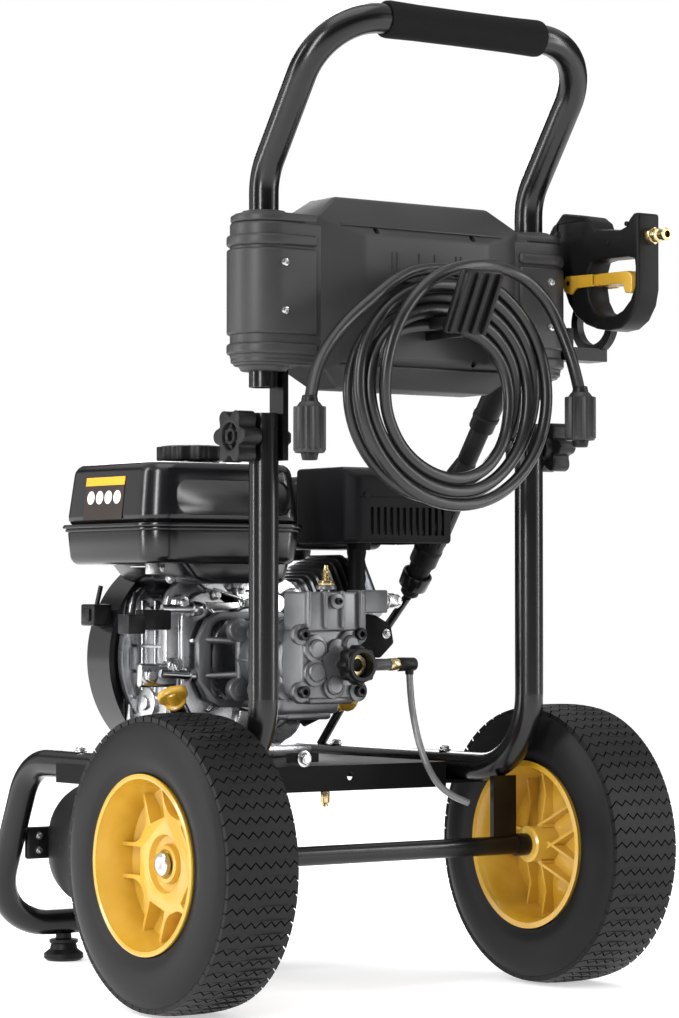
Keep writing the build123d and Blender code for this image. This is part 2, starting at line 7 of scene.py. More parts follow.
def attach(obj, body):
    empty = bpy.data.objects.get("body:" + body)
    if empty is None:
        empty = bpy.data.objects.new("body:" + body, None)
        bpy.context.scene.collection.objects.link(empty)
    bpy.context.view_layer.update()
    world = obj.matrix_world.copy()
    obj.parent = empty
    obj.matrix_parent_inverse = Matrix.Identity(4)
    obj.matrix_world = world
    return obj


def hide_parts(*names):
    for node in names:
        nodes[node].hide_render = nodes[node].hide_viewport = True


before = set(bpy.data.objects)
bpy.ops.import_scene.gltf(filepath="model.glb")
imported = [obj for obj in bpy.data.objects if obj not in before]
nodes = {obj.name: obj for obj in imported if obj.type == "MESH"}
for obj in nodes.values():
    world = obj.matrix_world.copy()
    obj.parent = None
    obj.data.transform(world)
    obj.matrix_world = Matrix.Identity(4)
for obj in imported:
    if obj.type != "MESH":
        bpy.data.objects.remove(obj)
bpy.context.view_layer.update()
bpy.ops.object.select_all(action="DESELECT")

# ---- Camera and studio ----
# A long lens a little below the middle of the cart, behind its left wheel. An even sky
# light keeps the white sweep white, and tall soft boxes draw long pale lines on gloss black.
bpy.ops.object.camera_add(location=(-2.0514, -2.9138, 0.4081),
    rotation=(math.radians(91.652), 0, math.radians(-36.071)))
camera = bpy.context.object
camera.name = "camera"
camera.data.lens = 116.44
camera.data.sensor_width = 36
camera.data.clip_end = 30
bpy.context.scene.camera = camera

bpy.ops.mesh.primitive_plane_add(size=24, location=(0, 0, -0.0005))
floor = bpy.context.object
floor.name = "floor"


def soft_box(name, stand, aim, size, power):
    """A rectangular area light on a stand, turned to its aim."""
    bpy.ops.object.light_add(type="AREA", location=stand)
    lamp = bpy.context.object
    lamp.name = name
    lamp.data.shape = "RECTANGLE"
    lamp.data.size, lamp.data.size_y = size
    lamp.data.energy = power
    lamp.rotation_euler = (Vector(aim) - Vector(stand)).to_track_quat("-Z", "Y").to_euler()


soft_box("key", (-3.1, -1.7, 1.6), (0, 0, 0.5), (0.5, 2.6), 92)
soft_box("overhead", (-0.4, -0.6, 3.4), (0, 0, 0.3), (2.4, 2.4), 40)
soft_box("right_strip", (2.3, -2.2, 1.3), (0, 0, 0.5), (0.25, 2.6), 34)
soft_box("left_strip", (-2.6, 1.2, 1.3), (0, 0, 0.5), (0.35, 2.6), 48)
soft_box("left_fill", (-2.0, 2.9, 0.8), (0, 0, 0.5), (2.0, 2.2), 11)
soft_box("right_fill", (2.2, -2.9, 0.9), (0, 0, 0.5), (1.5, 2.2), 12)
soft_box("back_strip", (1.6, 2.6, 1.8), (0, 0, 0.5), (0.6, 2.4), 30)
bpy.ops.object.light_add(type="SUN", location=(0, 0, 5))
sky = bpy.context.object
sky.name = "sky"
sky.data.energy = 1.5
sky.data.angle = math.radians(120)

# The backdrop is white, but the room that the glossy parts mirror is dim.
world = bpy.data.worlds.new("white_studio")
bpy.context.scene.world = world
world.use_nodes = True
tree = world.node_tree
seen = tree.nodes.new("ShaderNodeLightPath")
level = tree.nodes.new("ShaderNodeMapRange")
level.inputs["To Min"].default_value = 0.08
level.inputs["To Max"].default_value = 1.0
tree.links.new(seen.outputs["Is Camera Ray"], level.inputs["Value"])
tree.links.new(level.outputs["Result"], tree.nodes["Background"].inputs["Strength"])
tree.nodes["Background"].inputs["Color"].default_value = (1, 1, 1, 1)
bpy.context.scene.view_settings.view_transform = "Standard"


# ---- Frame, handle tube, deck and axle ----
# Bent 30 mm steel tube, a pressed steel deck and a welded axle, all powder coated: a
# deep even black whose faint orange peel, about 1.5 mm across, softens the highlights.
def linear(hex_colour):
    """An sRGB hex colour as linear RGBA."""
    parts = [int(hex_colour[i:i + 2], 16) / 255 for i in (1, 3, 5)]
    return [c / 12.92 if c <= 0.04045 else ((c + 0.055) / 1.055) ** 2.4 for c in parts] + [1]


def add_node(material, kind, values=None, links=None, **settings):
    """Adds a node, sets its sockets and properties, and links its inputs."""
    tree = material.node_tree
    made = tree.nodes.new(kind)
    for name, value in settings.items():
        setattr(made, name, value)
    for name, value in (values or {}).items():
        made.inputs[name].default_value = value
    for name, (source, output) in (links or {}).items():
        tree.links.new(source.outputs[output], made.inputs[name])
    return made


def new_material(name, colour, roughness, **sockets):
    """A material whose plain colour, roughness and other values sit on its shader."""
    material = bpy.data.materials.new(name)
    material.use_nodes = True
    shader = material.node_tree.nodes["Principled BSDF"]
    shader.inputs["Base Color"].default_value = linear(colour)
    shader.inputs["Roughness"].default_value = roughness
    for socket, value in sockets.items():
        shader.inputs[socket.replace("_", " ")].default_value = value
    return material


def link_shader(material, **sources):
    """Links node outputs to the shader's sockets."""
    tree = material.node_tree
    for socket, (source, output) in sources.items():
        tree.links.new(source.outputs[output],
            tree.nodes["Principled BSDF"].inputs[socket.replace("_", " ")])


def surface(material, grain, height, gloss, tones):
    """Grain of a real size in metres, and a slow drift of gloss and tone over 60 mm."""
    where = add_node(material, "ShaderNodeTexCoord")
    fine = add_node(material, "ShaderNodeTexNoise", {"Scale": 1 / grain, "Detail": 3.0},
        {"Vector": (where, "Object")})
    bump = add_node(material, "ShaderNodeBump", {"Strength": 0.6, "Distance": height},
        {"Height": (fine, "Fac")})
    slow = add_node(material, "ShaderNodeTexNoise", {"Scale": 16.0, "Detail": 5.0},
        {"Vector": (where, "Object")})
    spread = add_node(material, "ShaderNodeMapRange", {"To Min": gloss[0], "To Max": gloss[1]},
        {"Value": (slow, "Fac")})
    ramp = add_node(material, "ShaderNodeValToRGB", None, {"Fac": (slow, "Fac")})
    ramp.color_ramp.elements[0].position, ramp.color_ramp.elements[1].position = 0.3, 0.7
    for element, tone in zip(ramp.color_ramp.elements, tones):
        element.color = linear(tone)
    link_shader(material, Normal=(bump, "Normal"), Roughness=(spread, "Result"),
        Base_Color=(ramp, "Color"))
    return material


def dress(material, *names):
    """Gives carried-over nodes their material."""
    for name in names:
        piece = nodes[name]
        if not piece.material_slots:
            piece.data.materials.append(material)
        for material_slot in piece.material_slots:
            material_slot.material = material


floor.data.materials.append(new_material("painted_studio_sweep", "#f7f7f7", 0.9,
    Specular_IOR_Level=0.0, Emission_Color=(1, 1, 1, 1), Emission_Strength=0.5))
powder_coat = surface(new_material("powder_coat_on_steel", "#09090a", 0.2, Specular_IOR_Level=0.42),
    0.0015, 0.00004, (0.19, 0.26), ("#080809", "#0c0c0d"))
dress(powder_coat, "frame_tube_right", "frame_tube_left", "axle", "handle_tube")
deck_coat = surface(new_material("matt_powder_coat_on_steel", "#0a0a0b", 0.55,
    Specular_IOR_Level=0.12), 0.0015, 0.00005, (0.5, 0.62), ("#09090a", "#0d0d0e"))
dress(deck_coat, "engine_deck")

# ---- Tyres ----
# Turf tyres, moulded in one cavity: a smooth matt sidewall, a bare shoulder band, and a
# tread of zigzag ribs across the crown, 64 of them, each 12.7 mm wide with a 2 mm cut.
MM = 0.001
SHIFT = -0.163
AXLE_Z = 150
TYRE_MIDDLE = 243.8
TREAD_ROWS = 64
TREAD_HALF = 41.0
ZIGZAGS = 14
X_AXIS, Y_AXIS, Z_AXIS = (1, 0, 0), (0, 1, 0), (0, 0, 1)


def place(x, y, z):
    """A point in millimetres about the middle of the axle's ground line, in metres."""
    return Vector((x * MM, y * MM + SHIFT, z * MM))


def from_loop(name, points):
    """A new mesh with one closed loop of edges through the points, in edit mode."""
    bpy.ops.object.select_all(action="DESELECT")
    bpy.ops.mesh.primitive_circle_add(vertices=len(points), radius=1)
    piece = bpy.context.object
    piece.name = piece.data.name = name
    for vertex, point in zip(piece.data.vertices, points):
        vertex.co = point
    bpy.ops.object.mode_set(mode="EDIT")
    bpy.ops.mesh.select_all(action="SELECT")
    return piece


def close_up():
    """Merges doubles, turns the faces outwards and leaves edit mode."""
    bpy.ops.mesh.select_all(action="SELECT")
    bpy.ops.mesh.remove_doubles(threshold=2e-6)
    bpy.ops.mesh.normals_make_consistent(inside=False)
    bpy.ops.object.mode_set(mode="OBJECT")


def turned(name, points, centre, axis, steps=64):
    """A closed outline spun a full turn about an axis."""
    piece = from_loop(name, points)
    bpy.ops.mesh.spin(steps=steps, angle=2 * math.pi, center=centre, axis=axis)
    close_up()
    return piece


def spun(name, axis, a, b, profile, steps):
    """Pairs of radius and distance along X, Y or Z, spun about the line where the other two are a and b."""
    spot, centre, line = {"X": (lambda r, x: place(x, a, b + r), place(0, a, b), X_AXIS),
        "Y": (lambda r, y: place(a + r, y, b), place(a, 0, b), Y_AXIS),
        "Z": (lambda r, z: place(a + r, b, z), place(a, b, 0), Z_AXIS)}[axis]
    return turned(name, [spot(*pair) for pair in profile], centre, line, steps)


def slab(name, points, depth):
    """A closed outline, filled and drawn out along a vector in millimetres."""
    piece = from_loop(name, points)
    bpy.ops.mesh.edge_face_add()
    bpy.ops.mesh.extrude_region_move(TRANSFORM_OT_translate={"value": Vector(depth) * MM})
    close_up()
    return piece


def weld(name, *pieces):
    """Joins pieces into the first of them."""
    bpy.ops.object.select_all(action="DESELECT")
    for piece in pieces:
        piece.select_set(True)
    bpy.context.view_layer.objects.active = pieces[0]
    if len(pieces) > 1:
        bpy.ops.object.join()
    pieces[0].name = pieces[0].data.name = name
    return pieces[0]


def copy_of(piece, name, change):
    """A copy with its own mesh, moved by a matrix; a mirrored one is turned right side out."""
    twin = piece.copy()
    twin.data = piece.data.copy()
    twin.name = twin.data.name = name
    bpy.context.collection.objects.link(twin)
    twin.data.transform(change)
    if change.determinant() < 0:
        twin.data.flip_normals()
    return twin


def finish(name, pieces, material, body, slot, *replaced, angle=35):
    """Joins pieces and sets their shading, material, body and the nodes they replace; slot is not used."""
    piece = weld(name, *pieces)
    bpy.ops.object.shade_smooth_by_angle(angle=math.radians(angle))
    piece.data.materials.clear()
    piece.data.materials.append(material)
    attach(piece, body)
    if replaced:
        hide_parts(*replaced)
    return piece


def about(centre, angle, axis):
    """A turn about a point."""
    return Matrix.Translation(centre) @ Matrix.Rotation(angle, 4, axis) @ Matrix.Translation(-centre)


def around(piece, centre, axis, turns):
    """Copies of a piece at turns about a centre, in place of the piece itself."""
    copies = [copy_of(piece, piece.name, about(centre, turn, axis)) for turn in turns]
    bpy.data.objects.remove(piece, do_unlink=True)
    return copies


MIRROR_X = Matrix.Scale(-1, 4, X_AXIS)
WHEEL_CENTRE = place(TYRE_MIDDLE, 0, AXLE_Z)


def wheel_outline(points):
    """Points given as distance from the tyre's middle plane and radius."""
    return [place(TYRE_MIDDLE + x, 0, AXLE_Z + r) for x, r in points]


def crown(x):
    """Radius of the tread's top at a distance from the middle plane."""
    return 149.9 - 3.4 * abs(x / TREAD_HALF) ** 3


side_wall = [(41, 88.8), (43.5, 91.5), (44.6, 97), (46.6, 101), (47.6, 108), (47.7, 116), (47.0, 124),
    (45.7, 131), (43.9, 136.5), (41.6, 141), (37, 144.2), (24, 146.2), (8, 146.9)]
inside = [(24, 138), (33, 131), (36, 118), (33, 104), (27, 92), (29, 88.8)]
carcass = turned("carcass", wheel_outline(side_wall + [(-x, r) for x, r in reversed(side_wall)]
    + [(-x, r) for x, r in reversed(inside)] + inside), WHEEL_CENTRE, X_AXIS, 96)

HALF_RIB, ZIG = 6.35, 2.9
edges = []
for side in (1, -1):
    row = []
    for k in range(ZIGZAGS + 1):
        x = -TREAD_HALF + 2 * TREAD_HALF * k / ZIGZAGS
        row.append((x, side * HALF_RIB + (ZIG if k % 2 else -ZIG)))
    edges += row if side > 0 else row[::-1]
rib = slab("tread_rib", [place(TYRE_MIDDLE + x, y, AXLE_Z + 140) for x, y in edges], (0, 0, 5))
for vertex in rib.data.vertices:
    x = vertex.co.x / MM - TYRE_MIDDLE
    y = (vertex.co.y - SHIFT) / MM
    turn = y / 150
    top = vertex.co.z / MM > AXLE_Z + 142
    radius = crown(x) if top else crown(x) - 5
    vertex.co = place(TYRE_MIDDLE + x, radius * math.sin(turn), AXLE_Z + radius * math.cos(turn))
ribs = around(rib, WHEEL_CENTRE, "X", [2 * math.pi * k / TREAD_ROWS for k in range(TREAD_ROWS)])
tyre_rubber = surface(new_material("moulded_natural_rubber", "#0f0f10", 0.46, Specular_IOR_Level=0.22),
    0.0009, 0.00006, (0.42, 0.54), ("#0d0d0e", "#131314"))
tyre_right = weld("turf_tyre_right", carcass, *ribs)
tyre_left = copy_of(tyre_right, "turf_tyre_left", MIRROR_X)
finish("turf_tyre_right", [tyre_right], tyre_rubber, "wheel_right", "tyre_rubber", "tyre_right", angle=28)
finish("turf_tyre_left", [tyre_left], tyre_rubber, "wheel_left", "tyre_rubber", "tyre_left", angle=28)


# ---- Rims ----
# Injection-moulded polypropylene in golden yellow: a deep barrel with rolled lips, a
# dished back plate, a five-armed star with a pocket in each arm, and paired ribs inside.
def soften(piece, width, segments=2, angle=35):
    """Rounds the sharp edges with a bevel, width in millimetres."""
    bpy.context.view_layer.objects.active = piece
    bevel = piece.modifiers.new("rounding", "BEVEL")
    bevel.width = width * MM
    bevel.segments = segments
    bevel.limit_method = "ANGLE"
    bevel.angle_limit = math.radians(angle)
    bpy.ops.object.modifier_apply(modifier=bevel.name)
    return piece


def combine(piece, operation, *tools):
    """Cuts the tools out of a piece, or keeps only what they share; the tools go."""
    bpy.context.view_layer.objects.active = piece
    for tool in tools:
        boolean = piece.modifiers.new("combine", "BOOLEAN")
        boolean.operation = operation
        boolean.object = tool
        bpy.ops.object.modifier_apply(modifier=boolean.name)
        bpy.data.objects.remove(tool, do_unlink=True)
    return piece


def box(name, x, y, z, rounding=0.0, segments=2):
    """A block between pairs of faces, with rounded edges."""
    bpy.ops.object.select_all(action="DESELECT")
    middle = place(*(sum(pair) / 2 for pair in (x, y, z)))
    bpy.ops.mesh.primitive_cube_add(size=1, location=middle, scale=[(b - a) * MM for a, b in (x, y, z)])
    piece = bpy.context.object
    piece.name = piece.data.name = name
    bpy.ops.object.transform_apply(location=True, rotation=True, scale=True)
    return soften(piece, rounding, segments) if rounding else piece


def bar(name, start, end, radius, end_radius=None, sides=32, rounding=0.0):
    """A round, hexagonal or tapered bar between two points, with rounded rims."""
    bpy.ops.object.select_all(action="DESELECT")
    a, b = place(*start), place(*end)
    bpy.ops.mesh.primitive_cone_add(vertices=sides, radius1=radius * MM,
        radius2=(radius if end_radius is None else end_radius) * MM, depth=(b - a).length,
        location=(a + b) / 2, rotation=(b - a).to_track_quat("Z", "Y").to_euler())
    piece = bpy.context.object
    piece.name = piece.data.name = name
    bpy.ops.object.transform_apply(location=True, rotation=True, scale=True)
    return soften(piece, rounding) if rounding else piece


barrel = turned("barrel", wheel_outline([(-45.8, 90), (-45.8, 84), (-40, 80.5), (-30, 78.5), (0, 76),
    (24, 79), (36, 82), (43, 84.5), (46.4, 85.2), (47.2, 87.5), (46.4, 90.2), (44.6, 90.4), (43, 88),
    (-43, 88)]), WHEEL_CENTRE, X_AXIS, 96)
back_plate = turned("back_plate", wheel_outline([(-12, 19), (-4, 19), (-1, 48), (4, 66), (8, 78),
    (4, 78), (0, 66), (-6, 48)]), WHEEL_CENTRE, X_AXIS, 72)
ARM_HALF, ARM_ROOT, VALLEY = 18.5, 59, (40.5, 29.4)
ARM_TURNS = [math.radians(72 * k + 90) for k in range(5)]
star_points = []
for arm in ARM_TURNS:
    half = [(79, ARM_HALF), (ARM_ROOT, ARM_HALF)]
    for t in (0.25, 0.5, 0.75):
        half.append(((1 - t) ** 2 * ARM_ROOT + 2 * t * (1 - t) * 45 + t * t * VALLEY[0],
            (1 - t) ** 2 * ARM_HALF + 2 * t * (1 - t) * (ARM_HALF + 1) + t * t * VALLEY[1]))
    for out, across_arm in [(r, -w) for r, w in reversed(half)] + half + [VALLEY]:
        star_points.append(place(TYRE_MIDDLE + 2, out * math.sin(arm) + across_arm * math.cos(arm),
            AXLE_Z + out * math.cos(arm) - across_arm * math.sin(arm)))
star = slab("star", star_points, (17, 0, 0))
pocket = box("pocket", (TYRE_MIDDLE + 3, TYRE_MIDDLE + 30), (-14, 14), (AXLE_Z + 45, AXLE_Z + 82))
pockets = around(pocket, WHEEL_CENTRE, "X", [-arm for arm in ARM_TURNS])
hub_ring = bar("hub_ring", (TYRE_MIDDLE + 12, 0, AXLE_Z), (TYRE_MIDDLE + 30, 0, AXLE_Z), 28, 31, 48)
soften(combine(star, "DIFFERENCE", *pockets, hub_ring), 1.1, 2)
hub = turned("hub", wheel_outline([(-43.5, 8.2), (-43.5, 17), (-41.5, 19.5), (14, 20), (17.5, 18.5),
    (18.2, 15), (15.5, 12.5), (15.5, 8.2)]), WHEEL_CENTRE, X_AXIS, 48)
inner_ribs = []
for across_arm in (-15, 12):
    rib = slab("inner_rib", [place(TYRE_MIDDLE + x, across_arm, AXLE_Z + r)
        for x, r in ((-30, 14), (-3, 14), (3, 79), (-12, 79), (-14, 50))], (0, 3, 0))
    inner_ribs += around(rib, WHEEL_CENTRE, "X", [-arm for arm in ARM_TURNS])
yellow_pp = surface(new_material("injection_moulded_polypropylene_yellow", "#c4992c", 0.22,
    Coat_Weight=0.3, Subsurface_Weight=0.08, Subsurface_Scale=0.004), 0.0012, 0.00002, (0.18, 0.28),
    ("#b98d20", "#cfa644"))
rim_right = weld("moulded_rim_right", barrel, back_plate, star, hub, *inner_ribs)
rim_left = copy_of(rim_right, "moulded_rim_left", MIRROR_X)
finish("moulded_rim_right", [rim_right], yellow_pp, "wheel_right", "yellow_plastic", "rim_right")
finish("moulded_rim_left", [rim_left], yellow_pp, "wheel_left", "yellow_plastic", "rim_left")

# ---- Axle caps and frame bolts ----
# Pressed push-on caps over the axle ends, and hexagon bolts with washers through rails,
# deck and apron: zinc-plated steel, bright with a faint blue-white haze.
zinc_steel = surface(new_material("zinc_plated_steel", "#c9cac9", 0.25, Metallic=1.0), 0.0008, 0.00002,
    (0.2, 0.34), ("#bfc1c0", "#d2d3d3"))
cap = spun("cap", "X", 0, AXLE_Z, ((0.1, 262.6), (12, 262.6), (12.4, 264), (11.6, 267), (9, 268.6),
    (6, 268.6), (0.1, 267.6)), 40)
axle_caps = weld("axle_caps", cap, copy_of(cap, "cap", MIRROR_X))
finish("axle_caps", [axle_caps], zinc_steel, "chassis", "steel")


def hex_bolt(place_at, direction, radius=6.3, height=5.0):
    """A hexagon head on a washer, with a domed top."""
    a, d = Vector(place_at), Vector(direction)
    washer = bar("washer", a, a + d * 1.4, radius * 1.25, sides=24, rounding=0.3)
    head = bar("head", a + d * 1.4, a + d * (1.4 + height), radius, radius * 0.96, sides=6, rounding=0.7)
    boss = bar("boss", a + d * (1.0 + height), a + d * (2.2 + height), radius * 0.72, radius * 0.6, sides=18)
    return weld("hex_bolt", washer, head, boss)


TUBE_X = 171.5
rail_bolts = [hex_bolt((side * TUBE_X, y, 247.6), (0, 0, 1), 5.6, 3.4) for side in (-1, 1)
    for y in (105, 307)]
finish("rail_bolts", rail_bolts, zinc_steel, "chassis", "steel", "frame_bolts")
lug = box("bolt_lug", (-68, -28), (63, 67), (242, 252), 1.0)
apron_bolt = hex_bolt((-48, 63, 246), (0, -1, 0), 7, 5)
finish("engine_bolt_lug", [lug], deck_coat, "chassis", "gloss_black")
finish("apron_bolt", [apron_bolt], zinc_steel, "chassis", "steel")

# ---- Feet ----
# Moulded rubber feet on a short stud under the front cross tube: matt, with a flared
# base, a waist and a collar.
FOOT_X, FOOT_Y = -75, 500
foot = spun("foot", "Z", FOOT_X, FOOT_Y,
    ((0.1, 0), (19, 0), (22.8, 3), (22.6, 8), (16, 13), (14.5, 19), (16.5, 20.5), (16.5, 24),
    (9, 25.5), (9, 31), (0.1, 31)), 48)
foot_pair = weld("moulded_feet", foot, copy_of(foot, "foot", MIRROR_X))
finish("moulded_feet", [foot_pair], tyre_rubber, "chassis", "black_plastic", "feet")

# ---- Engine block, side cover and cylinder ----
# Pressure die-cast aluminium, trimmed and left bare: bright and slightly pearly, with
# ribs, bolt bosses and a joint flange. Finned cylinder, leaning up to the right.
SHAFT_Z = 348


def rounded_plate(name, x, z, y, radius, corner_steps=6):
    """An upright plate with round corners, drawn in X and Z and as thick as the Y pair."""
    points = []
    for cx, cz, start in ((x[1] - radius, z[1] - radius, 0), (x[0] + radius, z[1] - radius, 90),
            (x[0] + radius, z[0] + radius, 180), (x[1] - radius, z[0] + radius, 270)):
        for k in range(corner_steps + 1):
            turn = math.radians(start + 90 * k / corner_steps)
            points.append(place(cx + radius * math.cos(turn), y[0], cz + radius * math.sin(turn)))
    return slab(name, points, (0, y[1] - y[0], 0))


LEAN = math.radians(25)
up_cylinder = Vector((math.cos(LEAN), 0, math.sin(LEAN)))
base = Vector((90, 290, 384))
block = [soften(rounded_plate("case", (-94, 70), (248, 424), (250, 329), 30), 3, 3),
    soften(rounded_plate("case_flange", (-101, 77), (253, 434), (250, 257), 32), 1.2),
    soften(rounded_plate("fan_flange", (-100, 76), (250, 432), (321, 329), 34), 1.2),
    box("foot_rail", (-96, 92), (242, 328), (238.2, 251), 3)]
for z in (276, 304, 332, 360, 388):
    block.append(box("case_rib", (-98.5, -90), (255, 323), (z, z + 4), 1.2))
for y in (274, 300):
    block.append(box("case_web", (-97, -90), (y, y + 4), (262, 412), 1.2))
block += [bar("oil_boss", (-100, 288, 300), (-88, 288, 300), 17, 19, 32, 1.2),
    bar("oil_plug", (-104, 288, 300), (-99, 288, 300), 8.5, sides=6, rounding=0.8),
    bar("governor_boss", (-99, 286, 392), (-88, 286, 392), 13, 15, 32, 1.2),
    bar("governor_nut", (-103, 286, 392), (-98, 286, 392), 7, sides=6, rounding=0.8),
    box("cylinder_foot", (46, 98), (258, 322), (352, 424), 6, 3)]
for hollowed in (block[0], block[-1]):
    combine(hollowed, "DIFFERENCE", bar("cylinder_bore", base - up_cylinder * 70,
        base + up_cylinder * 40, 30.8, sides=64))
cast_alu = surface(new_material("die_cast_aluminium", "#b9babc", 0.28, Metallic=1.0), 0.0011, 0.00006,
    (0.16, 0.36), ("#8f9093", "#d4d5d7"))
block += [bar("long_stud", (-113, 236, 403), (-76, 230, 403), 4.6, 5.2, 24),
    bar("stud_head", (-78, 230, 403), (-66, 228, 403), 8.6, 7, 32, 2.5),
    bar("long_stud", (-113, 236, 333), (-80, 230, 331), 4.6, 5.2, 24),
    bar("stud_head", (-82, 230, 331), (-70, 228, 331), 8.6, 7, 32, 2.5),
    hex_bolt((-129, 236, 331), (0, -1, 0), 8.5, 5),
    box("bolt_lug", (-140, -92), (236, 246), (318, 344), 4, 3),
    spun("fan_rim", "Y", 0, SHAFT_Z, ((104, 316), (112, 316), (112, 326), (104, 326)), 96)]
finish("cast_crankcase", block, cast_alu, "chassis", "cast_aluminium", "crankcase")

cover = [soften(rounded_plate("cover_flange", (-104, 78), (256, 437), (241, 250), 33), 1.2),
    soften(rounded_plate("cover_dome", (-88, 64), (268, 424), (236, 244), 34), 4, 3),
    spun("pump_face", "Y", 0, SHAFT_Z, ((12, 240), (58, 240), (58, 226), (56, 223.2), (44, 223.2),
    (43, 228), (12, 228)), 64)]
cover += around(box("cover_rib", (56, 80), (229, 242), (SHAFT_Z - 2, SHAFT_Z + 2), 1),
    place(0, 0, SHAFT_Z), "Y", [math.radians(30 * k + 15) for k in range(12)])
cover_bolts = [(-88, 409), (-96, 340), (-86, 272), (62, 416), (70, 290), (-12, 428), (-20, 263), (70, 352)]
for x, z in cover_bolts:
    cover.append(bar("bolt_boss", (x, 233, z), (x, 246, z), 9, 10.5, 24, 0.8))
NECKS = {"left": ((-86, 238, 286), (-106, 220, 303)), "right": ((72, 238, 282), (96, 206, 300))}
for a, b in NECKS.values():
    cover.append(bar("filler_neck", a, b, 11.5, 10, 28, 0.8))
finish("cast_side_cover", cover, cast_alu, "chassis", "cast_aluminium", "side_cover")
bolts = [hex_bolt((x, 233, z), (0, -1, 0), 5.4, 3.6) for x, z in cover_bolts]
finish("cover_bolts", bolts, zinc_steel, "chassis", "steel")

cylinder = [bar("barrel", base, base + up_cylinder * 84, 31, sides=48)]
for k in range(9):
    fin = rounded_plate("fin", (base.x - 39, base.x + 39), (base.z - 50, base.z + 50), (288.4, 291.4), 9, 3)
    spin = (Matrix.Translation(place(*(base + up_cylinder * (8 + 9 * k))))
        @ Matrix.Rotation(-LEAN, 4, "Y") @ Matrix.Rotation(math.radians(90), 4, "Z")
        @ Matrix.Translation(-place(*base)))
    cylinder.append(copy_of(fin, "fin", spin))
    bpy.data.objects.remove(fin, do_unlink=True)
lid = box("rocker_cover", (base.x - 37, base.x + 37), (base.y - 37, base.y + 37),
    (base.z - 13, base.z + 13), 8, 4)
turn_up = (Matrix.Translation(place(*(base + up_cylinder * 96)))
    @ Matrix.Rotation(math.radians(90) - LEAN, 4, "Y") @ Matrix.Translation(-place(*base)))
cylinder.append(copy_of(lid, "rocker_cover", turn_up))
bpy.data.objects.remove(lid, do_unlink=True)
fin_alu = surface(new_material("sand_cast_aluminium_dark", "#77787a", 0.34, Metallic=0.9), 0.0011,
    0.00008, (0.24, 0.42), ("#55565a", "#9a9b9d"))
finish("finned_cylinder", cylinder, fin_alu, "chassis", "cast_aluminium", "cylinder_head")
dress(fin_alu, "piston")
dress(zinc_steel, "crankshaft", "wobble_plate", "plunger_1", "plunger_2", "plunger_3")

# ---- Fan shroud and starter ----
# Deep-drawn steel shroud, stove enamelled black like the fuel tank: a hard wet gloss.
# The starter's pull grip and the stop switch on the shroud are black nylon.
enamel = surface(new_material("stove_enamel_black", "#0d0d0f", 0.2, Specular_IOR_Level=0.45), 0.002,
    0.00001, (0.17, 0.24), ("#0b0b0d", "#111113"))
nylon_black = surface(new_material("moulded_nylon_black", "#0e0e0f", 0.38, Specular_IOR_Level=0.25),
    0.0009, 0.00003, (0.34, 0.46), ("#0f0f10", "#151516"))
dress(enamel, "blower_housing")
dress(nylon_black, "recoil_handle")
switch = [box("switch_case", (-136, -112), (338, 366), (384, 408), 2.5, 3),
    box("switch_rocker", (-139, -134), (344, 360), (389, 403), 1.5),
    bar("switch_lead", (-124, 352, 404), (-118, 352, 428), 2.6, sides=12)]
switch += [box("coil_case", (-163, -141), (224, 246), (376, 397), 1.5),
    box("coil_foot", (-141, -104), (230, 246), (380, 402), 2),
    bar("coil_lead", (-150, 236, 396), (-138, 250, 420), 2.4, sides=12)]
finish("stop_switch", switch, nylon_black, "chassis", "black_plastic")

# ---- Fuel tank ----
# Two deep-drawn halves seam-welded at a flat lip and enamelled gloss black, with a pressed
# panel in the rear wall. A plain foil label sits on the left, its discs left blank.
TANK_MIDDLE = place(-67.5, 260, 0)
CAP_X, CAP_Y = -60, 258
TOP_PINCH, BOTTOM_PINCH = 0.925, 0.965


def tank_outline(z, grow=0.0):
    """The tank's plan at a height, with the roundest corner at the left rear."""
    points = []
    for cx, cy, corner, start in ((8, 326, 22, 0), (-155, 338, 13, 90), (-136, 200, 32, 180),
            (8, 190, 22, 270)):
        for k in range(9):
            turn = math.radians(start + 11.25 * k)
            reach = corner + grow
            points.append(place(cx + reach * math.cos(turn), cy + reach * math.sin(turn), z))
    return points


def tank_half(name, z_lip, z_end, pinch, rounding):
    """A half of the tank, narrower at its far end."""
    half = slab(name, tank_outline(z_lip), (0, 0, z_end - z_lip))
    for vertex in half.data.vertices:
        if abs(vertex.co.z - z_end * MM) < 0.0001:
            vertex.co.x = TANK_MIDDLE.x + (vertex.co.x - TANK_MIDDLE.x) * pinch
            vertex.co.y = TANK_MIDDLE.y + (vertex.co.y - TANK_MIDDLE.y) * pinch
    return soften(half, rounding, 4, 50)


upper = tank_half("upper_half", 493, 560, TOP_PINCH, 11)
panel_tool = soften(rounded_plate("pressed_panel", (-136, 12), (503, 541), (150, 178.5), 16), 1.0, 2)
combine(upper, "DIFFERENCE", panel_tool)
deep = slab("deep_end", [place(x, 180, z)
    for x, z in ((-128, 460), (-104, 434), (-84, 430), (12, 430), (20, 460))], (0, 150, 0))
tank = [upper, tank_half("lower_half", 493, 451, BOTTOM_PINCH, 9), soften(deep, 7, 3),
    soften(slab("seam_lip", tank_outline(490.2, 4), (0, 0, 4.4)), 1.2),
    soften(slab("seam_roll", tank_outline(486.5, 2), (0, 0, 3.6)), 1.2),
    bar("lip_pin", (-166, 318, 492), (-171, 344, 492), 1.6, sides=12)]
tank.append(spun("filler", "Z", CAP_X, CAP_Y, ((26, 557), (30, 557), (30, 563.5), (26, 563.5)), 48))
finish("enamelled_tank", tank, enamel, "chassis", "tank_black", "fuel_tank", angle=40)


